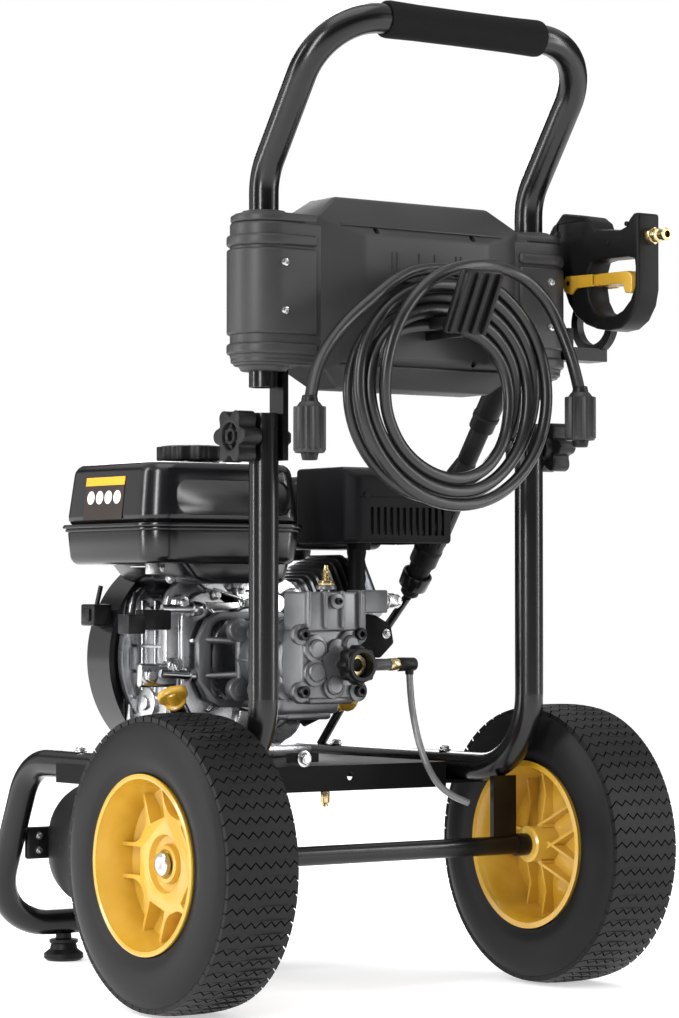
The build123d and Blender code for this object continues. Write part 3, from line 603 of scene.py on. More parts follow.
def on_left_wall(y, z):
    """A point just proud of the tank's slanting left wall."""
    wall = -168 + 100.5 * (1 - TOP_PINCH) * (z - 493) / 67
    return place(wall - 0.2, y, z)


label = slab("label", [on_left_wall(y, z)
    for y, z in ((231, 499), (309, 499), (309, 540), (231, 540))], (-0.5, 0, 0))
label_print = new_material("printed_foil_dark", "#24160f", 0.3)
surface(label_print, 0.0006, 0.000005, (0.26, 0.36), ("#1e130d", "#2a1a12"))
finish("tank_label", [label], label_print, "chassis", "tank_black")
band = slab("label_band", [on_left_wall(y, z)
    for y, z in ((231, 536), (309, 536), (309, 545), (231, 545))], (-0.7, 0, 0))
label_amber = surface(new_material("printed_foil_amber", "#e8a31c", 0.3), 0.0006, 0.000005,
    (0.26, 0.36), ("#e39d18", "#eda822"))
finish("tank_label_band", [band], label_amber, "chassis", "yellow_plastic")
discs = []
for k in range(4):
    ring_of_points = [on_left_wall(243.5 + 17.6 * k + 7.2 * math.cos(t * math.pi / 14),
        523 + 7.2 * math.sin(t * math.pi / 14)) for t in range(28)]
    discs.append(slab("disc", ring_of_points, (-0.9, 0, 0)))
label_white = surface(new_material("printed_foil_white", "#e9e4de", 0.3), 0.0006, 0.000005,
    (0.26, 0.36), ("#e6dfd8", "#efebe6"))
finish("tank_label_discs", discs, label_white, "chassis", "clear_pvc")


def lobed(steps, radius, spot):
    """Points round a centre, at a radius that depends on the turn, placed by spot."""
    turns = [2 * math.pi * k / steps for k in range(steps)]
    return [spot(radius(turn) * math.cos(turn), radius(turn) * math.sin(turn)) for turn in turns]


# Fuel cap: moulded nylon with ten grip lobes and a raised rim.
cap_points = lobed(120, lambda turn: 36.5 + 2.0 * math.cos(10 * turn),
    lambda u, v: place(CAP_X + u, CAP_Y + v, 564.6))
cap = soften(slab("cap", cap_points, (0, 0, 15.6)), 1.2, 2, 50)
cap_top = spun("cap_top", "Z", CAP_X, CAP_Y,
    ((0.1, 579), (30, 579), (30, 581), (27, 581.4), (24, 580), (0.1, 580)), 48)
plug = bar("cap_plug", (CAP_X, CAP_Y, 557), (CAP_X, CAP_Y, 566), 25, sides=40)
finish("lobed_fuel_cap", [cap, cap_top, plug], nylon_black, "fuel_cap", "black_plastic", "fuel_cap")

# Tank brackets and control linkage: pressed and zinc-plated steel strip, bolted through.
strap = [slab("strap_left", [place(x, 262, z)
    for x, z in ((-118, 456), (-60, 456), (-34, 430), (-34, 424), (-44, 424), (-70, 448),
    (-118, 448))], (0, 30, 0)), slab("strap_rear",
    [place(x, 236, z) for x, z in ((-96, 456), (-62, 456), (-30, 424), (-10, 410), (-24, 404),
    (-70, 436), (-96, 440))], (0, 3, 0)), box("strap_right", (0, 22), (262, 300), (430, 456.5), 1.5),
    box("tab", (-132, -118), (232, 240), (440, 456), 1.0),
    box("lever", (-60, -4), (229, 232), (402, 410), 1.0),
    bar("rod_end", (-4, 226, 406), (-4, 236, 406), 8, sides=24, rounding=1.5),
    bar("link", (-50, 230, 424), (20, 230, 404), 2.2, sides=12)]
for x, z in ((-112, 448), (-80, 446), (-44, 418), (-104, 436)):
    strap.append(hex_bolt((x, 234, z), (0, -1, 0), 4.6, 3.4))
soften(strap[0], 0.5)
finish("tank_straps", strap, zinc_steel, "chassis", "steel", "tank_brackets")

# ---- Muffler guard, air cleaner and boot ----
# Pressed steel guard in heat-resistant black, matt and slightly dusty, with a chamfered
# top and punched slots. Behind it, the moulded air cleaner and a rubber intake boot.
heat_paint = surface(new_material("heat_resistant_paint_black", "#0c0c0e", 0.45,
    Specular_IOR_Level=0.08), 0.0009, 0.00006, (0.42, 0.55), ("#0d0d0f", "#151517"))
guard = slab("guard", [place(x, y, 475)
    for x, y in ((76, 162), (88, 150), (218, 150), (218, 254), (76, 254))], (0, 0, 84))
chamfer = slab("chamfer", [place(70, y, z)
    for y, z in ((140, 530), (140, 570), (182, 570), (174, 561), (148, 548))], (150, 0, 0))
combine(guard, "DIFFERENCE", chamfer)
soften(guard, 5, 4)
slot_tool = box("slot", (104, 108.4), (140, 154), (484, 515), 1.2)
slots = [copy_of(slot_tool, "slot", Matrix.Translation((8.9 * MM * k, 0, 0))) for k in range(1, 12)]
side_slot = box("side_slot", (210, 226), (165, 169), (490, 530), 1.0)
side_slots = [copy_of(side_slot, "side_slot", Matrix.Translation((0, 9 * MM * k, 0))) for k in range(1, 8)]
inner = box("guard_inner", (92, 215), (153, 251), (470, 545))
combine(guard, "DIFFERENCE", inner, slot_tool, *slots, side_slot, *side_slots)
can = box("silencer", (92, 200), (166, 240), (482, 540), 14, 5)
guard_parts = [guard, can, bar("exhaust_neck", (150, 228, 500), (150, 232, 470), 12),
    bar("guard_screw", (98, 148.5, 528), (98, 151, 528), 4, sides=16, rounding=0.6),
    box("guard_seam", (90, 216), (149.4, 152), (525, 526.6), 0.4)]
finish("slotted_guard", guard_parts, heat_paint, "chassis", "satin_black", "muffler_guard")

cleaner = [box("cleaner_box", (84, 205), (258, 342), (470, 552), 10, 4),
    box("cleaner_lid_seam", (82, 207), (256, 344), (508, 513), 2),
    box("carburettor", (130, 175), (340, 376), (474, 510), 4, 3),
    bar("float_bowl", (152, 358, 458), (152, 358, 476), 15, 17, 32, 2)]
finish("air_cleaner_box", cleaner, nylon_black, "chassis", "black_plastic", "air_cleaner")

boot_outline = ((0.1, 418), (9, 418), (11, 424), (9.5, 430), (11, 437), (9.5, 444), (11, 451),
    (9.5, 458), (11, 466), (10.5, 480), (0.1, 480))
boot = spun("boot", "Z", 148, 236, boot_outline, 36)
finish("intake_boot", [boot], heat_paint, "chassis", "satin_black")

# ---- Dipsticks ----
# The same golden polypropylene as the rims: a finger wing on a ribbed collar over the neck.
for side, (start, end) in NECKS.items():
    a, b = Vector(start), Vector(end)
    along = (b - a).normalized()
    across = along.cross(Vector((0.588, 0.808, 0))).normalized()
    wing = [place(*(b + along * u + across * v - along.cross(across) * 4.5))
        for u, v in ((4, -7), (5, -13), (9, -16), (16, -17), (23, -13), (25, -5), (25, 5), (23, 13),
        (16, 17), (9, 16), (5, 13), (4, 7))]
    parts = [bar("collar", b + along * 0.4, b + along * 5, 12.5, 13, 24, 0.8),
        soften(slab("wing", wing, along.cross(across) * 9), 2.6, 3),
        bar("wing_hub", b + along * 4, b + along * 22, 9, 7, 24, 1.6)]
    finish(f"dipstick_cap_{side}", parts, yellow_pp, f"dipstick_{side}", "yellow_plastic",
        f"dipstick_{side}")

# ---- Pump ----
# Triplex head and wobble-plate housing, die cast, shot blasted and clear coated: mid grey
# with a fine sparkle. Four M8 socket screws hold the head; brass is left as machined.
pump_casting = surface(new_material("shot_blasted_die_casting", "#6d6e70", 0.36, Metallic=0.7), 0.0009,
    0.0001, (0.3, 0.42), ("#5d5e60", "#7e7f81"))


def along_y(name, y0, y1, x, z, radius, end_radius=None, sides=32, rounding=0.8):
    """A bar along the pump's length, its first radius at the far end."""
    return bar(name, (x, y1, z), (x, y0, z), radius, end_radius, sides, rounding)


BELL_X, BELL_Z = -7, 347.5
half_flange = ((0, 52), (40, 52), (57, 44), (69, 22), (69, -22), (57, -44), (40, -52), (0, -52))
flange = slab("flange", [place(BELL_X - x, 219, BELL_Z + z) for x, z in half_flange[1:-1]]
    + [place(BELL_X + x, 219, BELL_Z + z) for x, z in reversed(half_flange[1:-1])], (0, 10, 0))
opening = rounded_plate("opening", (BELL_X - 53, BELL_X + 53), (BELL_Z - 43, BELL_Z + 43), (210, 235), 16)
soften(combine(flange, "DIFFERENCE", opening), 1.6, 2)
ears = [along_y("bell_drum", 166, 200, BELL_X, BELL_Z, 33, 38, 64),
    box("bell_plate", (BELL_X - 34, BELL_X + 34), (194, 203), (BELL_Z - 38, BELL_Z + 38), 3, 3),
    box("drum_rib", (BELL_X - 37, BELL_X + 37), (170, 196), (BELL_Z - 1.5, BELL_Z + 1.5), 0.8)]
for side in (-1, 1):
    for z in (-32.5, 32.5):
        ears.append(along_y("ear", 192.5, 203.5, BELL_X + 33 * side, BELL_Z + z, 13, rounding=1.4))
        ears.append(along_y("ear_socket", 191, 193, BELL_X + 33 * side, BELL_Z + z, 7, sides=24,
            rounding=0.5))
    for z in (-16, 20):
        ears.append(bar("spoke", (BELL_X + 30 * side, 200, BELL_Z + z),
            (BELL_X + 60 * side, 223, BELL_Z + z * 1.1), 3.4, sides=16))
finish("open_bell", [flange, *ears], pump_casting, "chassis", "pump_grey", "pump_bell")

body = [along_y("drum", 112, 172, 0, SHAFT_Z, 42, sides=64),
    box("sump", (-40, 40), (116, 170), (290, 350), 8, 4),
    box("sump_foot", (-30, 30), (120, 166), (284, 294), 4, 3)]
for k in range(4):
    body.append(along_y("rib", 121 + 13 * k, 125.5 + 13 * k, 0, SHAFT_Z, 47, sides=64, rounding=0.8))
for x in (-44, 30):
    for z in (315.5, 376.5):
        body.append(along_y("column", 110, 168, x * 0.9, z, 9.2, rounding=1))
for z in (306, 322, 338):
    body.append(box("side_rib", (-45, 45), (120, 166), (z, z + 3.5), 1.2))
finish("pump_housing", body, pump_casting, "chassis", "pump_grey", "pump_body")

INLET_X, INLET_Z = 10, 343.6
head = [soften(rounded_plate("valve_block", (-42, 35), (308, 386), (74, 112), 13), 2.2, 3),
    box("manifold", (-41, 38), (68, 111), (379, 421), 3, 3),
    box("unloader_block", (36, 68.6), (71, 104), (398.5, 423), 2, 3),
    box("lower_lug", (-30, 30), (78, 110), (302, 312), 4, 3),
    along_y("inlet_neck", 58.3, 78, INLET_X, INLET_Z, 13.2, 15.5, 40),
    bar("top_boss", (-4, 84, 423), (-4, 84, 428), 11.5, 10.5, 32, 1.0),
    along_y("gallery_plug_boss", 62.5, 70, -4, 411, 7.5, 8.5, 28, 1.0)]
for x in (-41.5, -20.5, 2, 25):
    head.append(box("manifold_rib", (x, x + 5), (63.5, 72), (382, 422), 2.0, 3))
for x, z, r in ((-27, 361, 14), (18, 367, 13), (-27, 335, 13.5), (-3, 321, 13), (2, 358, 12.5)):
    head.append(along_y("cap_boss", 69, 80, x, z, r, r + 1.5, 32, 3))
for x in (-44.5, 29.5):
    for z in (315.5, 376):
        head.append(along_y("screw_boss", 70.5, 80, x, z, 10.4, 11.5, 28, 1.6))
head.append(slab("inlet_web", [place(x, 76, z)
    for x, z in ((-20, 352), (-2, 364), (24, 360), (34, 344), (20, 322), (-12, 324))], (0, -8, 0)))
finish("valve_head", head, pump_casting, "chassis", "pump_grey", "pump_head")

caps = []
for x, z in ((-27, 361), (17, 365), (-27, 336), (-4, 322)):
    caps.append(spun("valve_cap", "Y", x, z,
        ((0.1, 64.5), (7.5, 64.5), (9.8, 66.2), (10.5, 68.5), (10.5, 72), (0.1, 72)), 32))
finish("valve_plugs", caps, pump_casting, "chassis", "pump_grey", "valve_caps")

black_oxide = surface(new_material("black_oxide_steel", "#2b2b2e", 0.34, Metallic=0.85), 0.0007,
    0.00002, (0.28, 0.42), ("#252528", "#353539"))
screws = []
for x, z, y, r in ((-44.5, 376, 72, 6.5), (29.5, 376, 72, 6.5), (-44.5, 315.5, 72, 6.5),
        (29.5, 315.5, 72, 6.5), (-4, 411, 66, 3.8)):
    screws.append(turned("socket_screw",
        [place(x + q * r / 6.5, y - d, z) for q, d in ((0.1, 2.5), (3.2, 2.5), (3.2, 7.6), (5.6, 8),
        (6.5, 7), (6.5, -1), (0.1, -1))], place(x, 0, z), Y_AXIS, 28))
finish("socket_screws", screws, black_oxide, "chassis", "dark_steel", "pump_bolts")

rod = [bar("unloader_sleeve", (68.6, 88, 411), (88, 88, 411), 9, 8.6, 32, 0.8),
    bar("unloader_nut", (88, 88, 411), (95, 88, 411), 7.6, sides=6, rounding=0.8),
    bar("unloader_tip", (95, 88, 411), (99, 88, 411), 4.2, 3, 20, 0.8),
    bar("unloader_ring", (76, 88, 411), (78, 88, 411), 10, sides=32, rounding=0.5)]
finish("unloader_rod", rod, zinc_steel, "chassis", "steel", "unloader")
outlet_block = slab("outlet_block", [place(x, 80, z)
    for x, z in ((28, 400), (60, 396), (80, 386), (84, 366), (66, 350), (34, 356))], (0, 30, 0))
outlet_screw = hex_bolt((72, 80, 376), (0, -1, 0), 4.2, 3)
finish("outlet_block", [soften(outlet_block, 2.5, 3)], heat_paint, "chassis", "black_plastic",
    "pressure_outlet")
finish("outlet_screw", [outlet_screw], zinc_steel, "chassis", "steel")

brass = surface(new_material("machined_brass", "#cdb888", 0.26, Metallic=1.0), 0.0007, 0.00001,
    (0.2, 0.34), ("#bfa873", "#dccba0"))
dress(brass, "inlet_spigot")
PIPE_Y, PIPE_Z = 84, 343
valve = [bar("valve_hex", (-4, 84, 427), (-4, 84, 433), 9, sides=6, rounding=0.7),
    spun("nipple", "Z", -4, 84, ((0.1, 433), (4.6, 433), (3, 435.5), (4.4, 438), (3, 440.5),
    (4.2, 443), (2.6, 446), (2.4, 449), (0.1, 449)), 24),
    bar("injector_band", (79, PIPE_Y, PIPE_Z), (91, PIPE_Y, PIPE_Z), 6.8, sides=32, rounding=0.7),
    bar("drain_body", (-20, 63.5, 199), (-20, 63.5, 211), 5, sides=6, rounding=0.7),
    bar("drain_tip", (-20, 63.5, 195), (-20, 63.5, 200), 3, sides=20, rounding=0.4)]
finish("brass_fitting_set", valve, brass, "chassis", "brass", "brass_fittings")

pipe_grey = surface(new_material("moulded_nylon_grey", "#4a4b4d", 0.36), 0.0009, 0.00003, (0.32, 0.42),
    ("#434446", "#525355"))
tube = [bar("injector_pipe", (40, PIPE_Y, PIPE_Z), (79, PIPE_Y, PIPE_Z), 6.6, 6.3, 32, 0.6),
    bar("injector_collar", (52, PIPE_Y, PIPE_Z), (56, PIPE_Y, PIPE_Z), 7.6, sides=32, rounding=0.7)]
finish("injector_tube", tube, pipe_grey, "chassis", "black_plastic")
elbow = [bar("elbow", (91, PIPE_Y, PIPE_Z), (114, PIPE_Y, PIPE_Z), 7.6, 7.2, 32, 1.2),
    bar("elbow_spout", (107, PIPE_Y, 332), (107, PIPE_Y, PIPE_Z), 4.6, sides=24)]
finish("injector_elbow", elbow, nylon_black, "chassis", "black_plastic", "injector")

ring_points = lobed(64, lambda turn: 19.6 + 1.6 * math.cos(8 * turn),
    lambda u, v: place(INLET_X + u, 40, INLET_Z + v))
swivel = slab("swivel", ring_points, (0, 16, 0))
bore = along_y("bore", 30, 52, INLET_X, INLET_Z, 13.3, rounding=0)
combine(swivel, "DIFFERENCE", bore)
soften(swivel, 0.8, 2, 50)
lip = spun("swivel_lip", "Y", INLET_X, INLET_Z, ((13.3, 36), (17, 36), (18, 37.5), (18, 41), (13.3, 41)), 48)
finish("swivel_nut", [swivel, lip], nylon_black, "inlet_nut", "black_plastic", "inlet_nut")

drain = [bar("drain_tube", (-2, 176, 292), (-42, 150, 262), 8, sides=28, rounding=0.8)]
finish("pump_drain_tube", drain, nylon_black, "chassis", "black_plastic")

# ---- Handle panel ----
# Two blow-moulded ABS shells in charcoal, screwed together around the handle tubes. Ends
# are banded sleeves with a raised pad; the middle swells out in flat slanting facets.
TUBE_Y = -41


def facets(name, plane, points, start, depth):
    """An outline in two axes, drawn out along the third."""
    spread = {"XY": lambda a, b: place(a, b, start), "YZ": lambda a, b: place(start, a, b),
        "XZ": lambda a, b: place(a, start, b)}[plane]
    along = {"XY": (0, 0, depth), "YZ": (depth, 0, 0), "XZ": (0, depth, 0)}[plane]
    return slab(name, [spread(a, b) for a, b in points], along)


middle = facets("middle", "XY", ((-134, -73), (-79, -87), (79, -87), (134, -73), (134, -9), (79, 5),
    (-79, 5), (-134, -9)), 612, 216)
face = facets("face", "XZ", ((-134, 652), (-99, 626), (99, 626), (134, 652), (134, 796), (99, 821),
    (-99, 821), (-134, 796)), -95, 110)
side = facets("side", "YZ", ((-88, 656), (-79, 650), (-60, 620), (-22, 620), (-3, 650), (6, 656),
    (6, 780), (-3, 791), (-22, 823), (-60, 823), (-79, 791), (-88, 780)), -140, 280)
combine(middle, "INTERSECT", face, side)
recess = [box("hook_recess", (-50, 52), (-95, -76), (686, 736), 8, 4)]
recess += [along_y("screw_hole", -95, -76, x, z, 3.6, rounding=0) for x in (-62, 62) for z in (656, 786)]
combine(soften(middle, 4, 4, 12), "DIFFERENCE", *recess)
panel = [middle, box("core", (-150, 150), (-74, -8), (656, 798), 8, 4)]
for x in (-44, -38, 38, 44, -10, 10):
    panel.append(box("face_rib", (x - 1.1, x + 1.1), (-88.2, -80), (732, 766), 0.8))
for z in (648.5, 790.5):
    panel.append(box("face_step", (-104, 104), (-81.5, -60), (z - 0.8, z + 0.8), 0.5))


def sleeve(z0, z1, r, inner, rounding):
    """A stretch of the left sleeve: half round outside the tube, flat towards the middle."""
    turns = [math.radians(90 + 7.5 * k) for k in range(25)]
    points = [place(r * math.cos(turn) - TUBE_X, r * math.sin(turn) + TUBE_Y, z0) for turn in turns]
    points += [place(inner - 2, TUBE_Y - r, z0), place(inner, TUBE_Y - r + 2, z0),
        place(inner, TUBE_Y + r - 2, z0), place(inner - 2, TUBE_Y + r, z0)]
    return soften(slab("sleeve", points, (0, 0, z1 - z0)), rounding, 4, 50)


bands = [(646, 799, 31, -128, 2.5), (649, 655, 33.5, -128, 1.4), (790, 797, 33.5, -128, 1.6),
    (652, 790, 34.2, -122, 4), (657, 668.5, 37.6, -131, 3.2), (765.5, 777, 37.6, -131, 3.2),
    (677, 763, 37.4, -131, 2.6)]
ends = [sleeve(*band) for band in bands]
collar = [bar("collar", (-TUBE_X, TUBE_Y, 797), (-TUBE_X, TUBE_Y, 802), 24, 22, 40, 1.2),
    bar("collar", (-TUBE_X, TUBE_Y, 641), (-TUBE_X, TUBE_Y, 648), 23, 27, 40, 1.2)]
left_end = weld("panel_end", *ends, *collar)
right_end = copy_of(left_end, "panel_end", MIRROR_X)
abs_charcoal = surface(new_material("moulded_abs_charcoal", "#343435", 0.42, Specular_IOR_Level=0.35),
    0.0008, 0.00004, (0.38, 0.48), ("#2c2c2d", "#333334"))
finish("handle_panel", [*panel, left_end, right_end], abs_charcoal, "handle", "panel_plastic",
    "panel_rear", "panel_front", angle=32)

# Pan-head screws that hold the sleeves: zinc-plated, with a hexagon recess.
screws = []
for x in (-TUBE_X, TUBE_X):
    for z in (700, 748):
        screw = spun("pan_head", "Y", x, z,
            ((0.1, -79.6), (1.9, -79.6), (2.1, -81.3), (3.6, -80.8), (4.3, -79.4), (4.4, -77.5),
            (0.1, -77.5)), 24)
        screws.append(screw)
finish("sleeve_screws", screws, zinc_steel, "handle", "steel", "panel_screws")

# ---- Grip ----
# Closed-cell foam tube pushed on the bar: dead matt, with fine 1 mm pores and soft ends.
foam_rubber = new_material("closed_cell_foam_black", "#0f0f10", 0.8, Specular_IOR_Level=0.15)
foam_place = add_node(foam_rubber, "ShaderNodeTexCoord")
pores = add_node(foam_rubber, "ShaderNodeTexVoronoi", {"Scale": 900.0}, {"Vector": (foam_place, "Object")})
pore_bump = add_node(foam_rubber, "ShaderNodeBump", {"Strength": 0.5, "Distance": 0.0002},
    {"Height": (pores, "Distance")})
pore_gloss = add_node(foam_rubber, "ShaderNodeMapRange", {"To Min": 0.7, "To Max": 0.9},
    {"Value": (pores, "Distance")})
link_shader(foam_rubber, Normal=(pore_bump, "Normal"), Roughness=(pore_gloss, "Result"))
GRIP_Y, GRIP_Z = -146, 989
grip = spun("foam_grip", "X", GRIP_Y, GRIP_Z,
    ((15.1, -98.8), (17, -98.8), (18.4, -97.5), (18.9, -94), (18.8, -88), (18.2, -60), (18, 0),
    (18.2, 60), (18.8, 88), (18.9, 94), (18.4, 97.5), (17, 98.8), (15.1, 98.8)), 48)
finish("foam_grip", [grip], foam_rubber, "handle", "foam", "handle_grip")

# ---- Clamp knobs ----
# Six-lobed moulded nylon stars over a steel stud, with a sunk face and a ribbed hub.
KNOB_Z = 575
knob_points = lobed(96, lambda turn: 24.6 + 4.4 * math.cos(6 * turn) - 0.7 * math.cos(12 * turn),
    lambda u, v: place(192, TUBE_Y + u, KNOB_Z + v))
star = slab("star", knob_points, (22, 0, 0))
face_cut = bar("face_cut", (208, TUBE_Y, KNOB_Z), (218, TUBE_Y, KNOB_Z), 12.5, 15, 40)
soften(combine(star, "DIFFERENCE", face_cut), 1.8, 3, 50)
knob = [star, bar("knob_hub", (186.6, TUBE_Y, KNOB_Z), (193, TUBE_Y, KNOB_Z), 12, 15, 40, 1),
    spun("knob_boss", "X", TUBE_Y, KNOB_Z,
    ((5, 205), (5, 212), (6, 213), (8, 213), (9, 211.5), (9.5, 205)), 32),
    bar("stud", (145, TUBE_Y, KNOB_Z), (206, TUBE_Y, KNOB_Z), 3.9, sides=24),
    bar("stud_head", (143, TUBE_Y, KNOB_Z), (149.2, TUBE_Y, KNOB_Z), 9, sides=6, rounding=0.7)]
knob += around(box("spoke", (206.5, 211), (TUBE_Y - 1.2, TUBE_Y + 1.2), (KNOB_Z + 8, KNOB_Z + 13),
    0.5), place(0, TUBE_Y, KNOB_Z), "X", [math.radians(60 * k) for k in range(6)])
knob_right = weld("star_knob_right", *knob)
knob_left = copy_of(knob_right, "star_knob_left", MIRROR_X)
finish("star_knob_right", [knob_right], nylon_black, "knob_right", "black_plastic", "knob_right")
finish("star_knob_left", [knob_left], nylon_black, "knob_left", "black_plastic", "knob_left")

# ---- Hose hook ----
# A moulded nylon arm out of the panel's recess, and a leaning plate with four upright
# ribs on its face that keeps the hose on.
tilt = about(place(0, -162, 712), math.radians(28), "X")
plate = box("hook_plate", (-26, 26), (-166, -158.5), (677, 747), 3, 3)
ribs = [box("hook_rib", (x - 2.4, x + 2.4), (-171, -163), (679, 745), 1.6, 3) for x in (-21, -7, 7, 21)]
leaning = weld("leaning", plate, *ribs)
hook = [copy_of(leaning, "hook_plate", tilt),
    box("hook_arm", (-20, 20), (-154, -76), (686, 698), 3, 3),
    box("hook_foot", (-25, 25), (-84, -76), (684, 706), 3, 3),
    box("hook_web", (-2.5, 2.5), (-146, -76), (677, 688), 2)]
bpy.data.objects.remove(leaning, do_unlink=True)
finish("ribbed_hose_hook", hook, nylon_black, "handle", "black_plastic", "hose_hook")

# ---- Gun ----
# Glass-filled nylon shells, softly rounded: the valve in line with the lance, the neck that
# the hand holds, a square tail block and the guard loop. Slightly satin, almost black.
gun_outer = ((-168, 736), (-164, 720), (-153, 705), (-138, 697), (-120, 695.5), (-100, 699),
    (-82, 705), (-66, 715), (-54, 729), (-46, 746), (-30, 757), (-18, 770), (-14, 800), (-44, 827),
    (-84, 820), (-95, 813), (-99, 804), (-120, 803), (-138, 801), (-148, 804), (-154, 812),
    (-160, 816.5), (-168, 816.5))
gun_inner = ((-92, 771), (-104, 772.5), (-150, 771.5), (-160.5, 769), (-162, 760), (-161.5, 740),
    (-154, 726), (-142, 716), (-128, 711), (-112, 711.5), (-98, 718), (-90, 730), (-87, 744),
    (-87.5, 760))
shell = facets("shell", "YZ", gun_outer, 215, 30)
hole = facets("hole", "YZ", gun_inner, 205, 50)
combine(shell, "DIFFERENCE", hole)
hollow = [box("side_hollow", (x, x + 4), (-84, -36), (796, 816), 1.5) for x in (213, 243)]
combine(soften(shell, 5, 5, 50), "DIFFERENCE", *hollow)
GUN_X, COUPLER_Z = 230, 792
lance_tip, lance_top = Vector((GUN_X, 247, 419)), Vector((GUN_X, -28, 800))
lance_way = (lance_top - lance_tip).normalized()


def on_lance(name, s0, s1, r0, r1=None, rounding=0.8, sides=40):
    """A bar on the lance's line, between distances from its tip."""
    return bar(name, lance_tip + lance_way * s0, lance_tip + lance_way * s1, r0, r1, sides, rounding)


gun = [shell, on_lance("valve_collar", 418, 482, 17, 15.5, 2),
    bar("pin", (210, -60, 750), (250, -60, 750), 2.5, sides=20)]
for y, z in ((-150, 806), (-64, 735), (-120, 788), (-100, 704)):
    gun.append(bar("shell_screw", (213.6, y, z), (246.4, y, z), 2.6, sides=16, rounding=0.4))
gun_nylon = surface(new_material("glass_filled_nylon_black", "#101011", 0.42, Specular_IOR_Level=0.12),
    0.0008, 0.00004, (0.36, 0.46), ("#131314", "#191919"))
finish("spray_gun_body", gun, gun_nylon, "gun", "black_plastic", "gun_body")

# Trigger: golden polypropylene bar with turned-down ends, on two cheeks beside the body.
lever = facets("lever", "YZ", ((-155, 736), (-155, 752), (-148, 757), (-104, 757.5), (-92, 757),
    (-92, 745), (-140, 744), (-144, 734), (-153, 733)), 217, 26)
cheek = facets("cheek", "YZ", ((-99, 757), (-56, 758), (-50, 752), (-53, 741), (-64, 738), (-72, 744),
    (-99, 744)), 210.6, 4)
trigger = [soften(lever, 1.6, 3), soften(cheek, 1.2),
    copy_of(cheek, "cheek", Matrix.Translation((34.8 * MM, 0, 0))),
    box("cross", (210.8, 249.2), (-99, -91.5), (745, 757), 1.4)]
finish("trigger_bar", trigger, yellow_pp, "trigger", "yellow_plastic", "trigger")

coupler = spun("coupler", "Y", GUN_X, COUPLER_Z,
    ((3.8, -170), (3.8, -197), (5.4, -197), (6.6, -195.5), (6.6, -192), (5.2, -190.5), (5.2, -186),
    (6.8, -184.5), (7.4, -182), (7.4, -167), (3.8, -167)), 36)
nut = bar("coupler_nut", (GUN_X, -168, COUPLER_Z), (GUN_X, -178, COUPLER_Z), 9.4, sides=6, rounding=0.8)
finish("plug_coupler", [coupler, nut], brass, "gun", "brass", "gun_coupler")

# Lance: two moulded nylon sleeves with a waist between them, and a nozzle cone.
lance = [on_lance("nozzle", 0, 44, 9, 13.5, 1.5), on_lance("sleeve_low", 44, 165, 16, 16, 2),
    on_lance("sleeve_cone", 164, 184, 16, 11), on_lance("waist", 182, 228, 11),
    on_lance("sleeve_high", 226, 420, 14.2, 14.2, 2), on_lance("ring", 60, 66, 16.6),
    on_lance("ring", 150, 156, 16.6), on_lance("ring", 240, 246, 15.2),
    on_lance("tip_ring", 2, 8, 10.6)]
flute = on_lance("flute", 74, 142, 2, 2, 0.6, 12)
flute.data.transform(Matrix.Translation((14.6 * MM, 0, 0)))
lance += around(flute, place(*lance_tip), lance_way, [math.radians(45 * k) for k in range(8)])
finish("lance_sleeves", lance, gun_nylon, "gun", "black_plastic", "lance")

# ---- Lance rest ----
# A bent 10 mm rod from the right rail, ending just short of an open cup round the nozzle:
# steel under the same black powder coat as the frame.
rest_knee = (230, 290, 380)
rest_top = lance_tip + lance_way * 16 + Vector((0, 12, -16))
rest = [bar("rest_foot", (TUBE_X, 338, 246), rest_knee, 5, sides=24),
    bar("rest_arm", rest_knee, rest_top, 5, sides=24),
    bar("rest_knee", (230, 292, 375), (230, 289, 385), 5.6, sides=24, rounding=1.5)]
cup = on_lance("rest_cup", 12, 30, 16.5, 17.5, 1)
combine(cup, "DIFFERENCE", on_lance("cup_bore", 5, 40, 14.2, 15.6, 0))
finish("rod_lance_rest", [*rest, cup], powder_coat, "chassis", "gloss_black", "lance_rest")

# ---- Gun holder ----
# Moulded nylon bracket on the panel's right end: a cradle for the lance and a round open
# hook beside the gun, with a stop tooth inside.
dress(nylon_black, "gun_holder", "detergent_cap")

# ---- Detergent bottle ----
# Blow-moulded polyethylene, full and round with a pinched seam, hung from the front hoop by
# two ears with a pair of zinc-plated screws each.
bottle = [box("bottle", (-140, 140), (330, 472), (66, 210), 62, 10),
    box("seam", (-141, 141), (399, 403), (136, 141), 1.5),
    bar("bottle_neck", (70, 430, 196), (70, 430, 214), 24, 22, 40, 1.5)]
combine(bottle[2], "DIFFERENCE", bar("neck_bore", (70, 430, 190), (70, 430, 220), 18, 18, 40))
ear_screws = []
for side in (-1, 1):
    ear = sorted((side * 118, side * 156))
    bottle.append(box("ear", ear, (445, 453), (122, 158), 3, 3))
    for z in (132, 148):
        ear_screws.append(hex_bolt((side * 141, 445, z), (0, -1, 0), 3.6, 2.6))
bottle_black = surface(new_material("blow_moulded_polyethylene_black", "#0e0e0f", 0.42,
    Specular_IOR_Level=0.3), 0.0012, 0.00005, (0.38, 0.5), ("#0c0c0d", "#131314"))
finish("detergent_bottle", bottle, bottle_black, "chassis", "black_plastic", "detergent_tank")
finish("ear_screws", ear_screws, zinc_steel, "chassis", "steel")

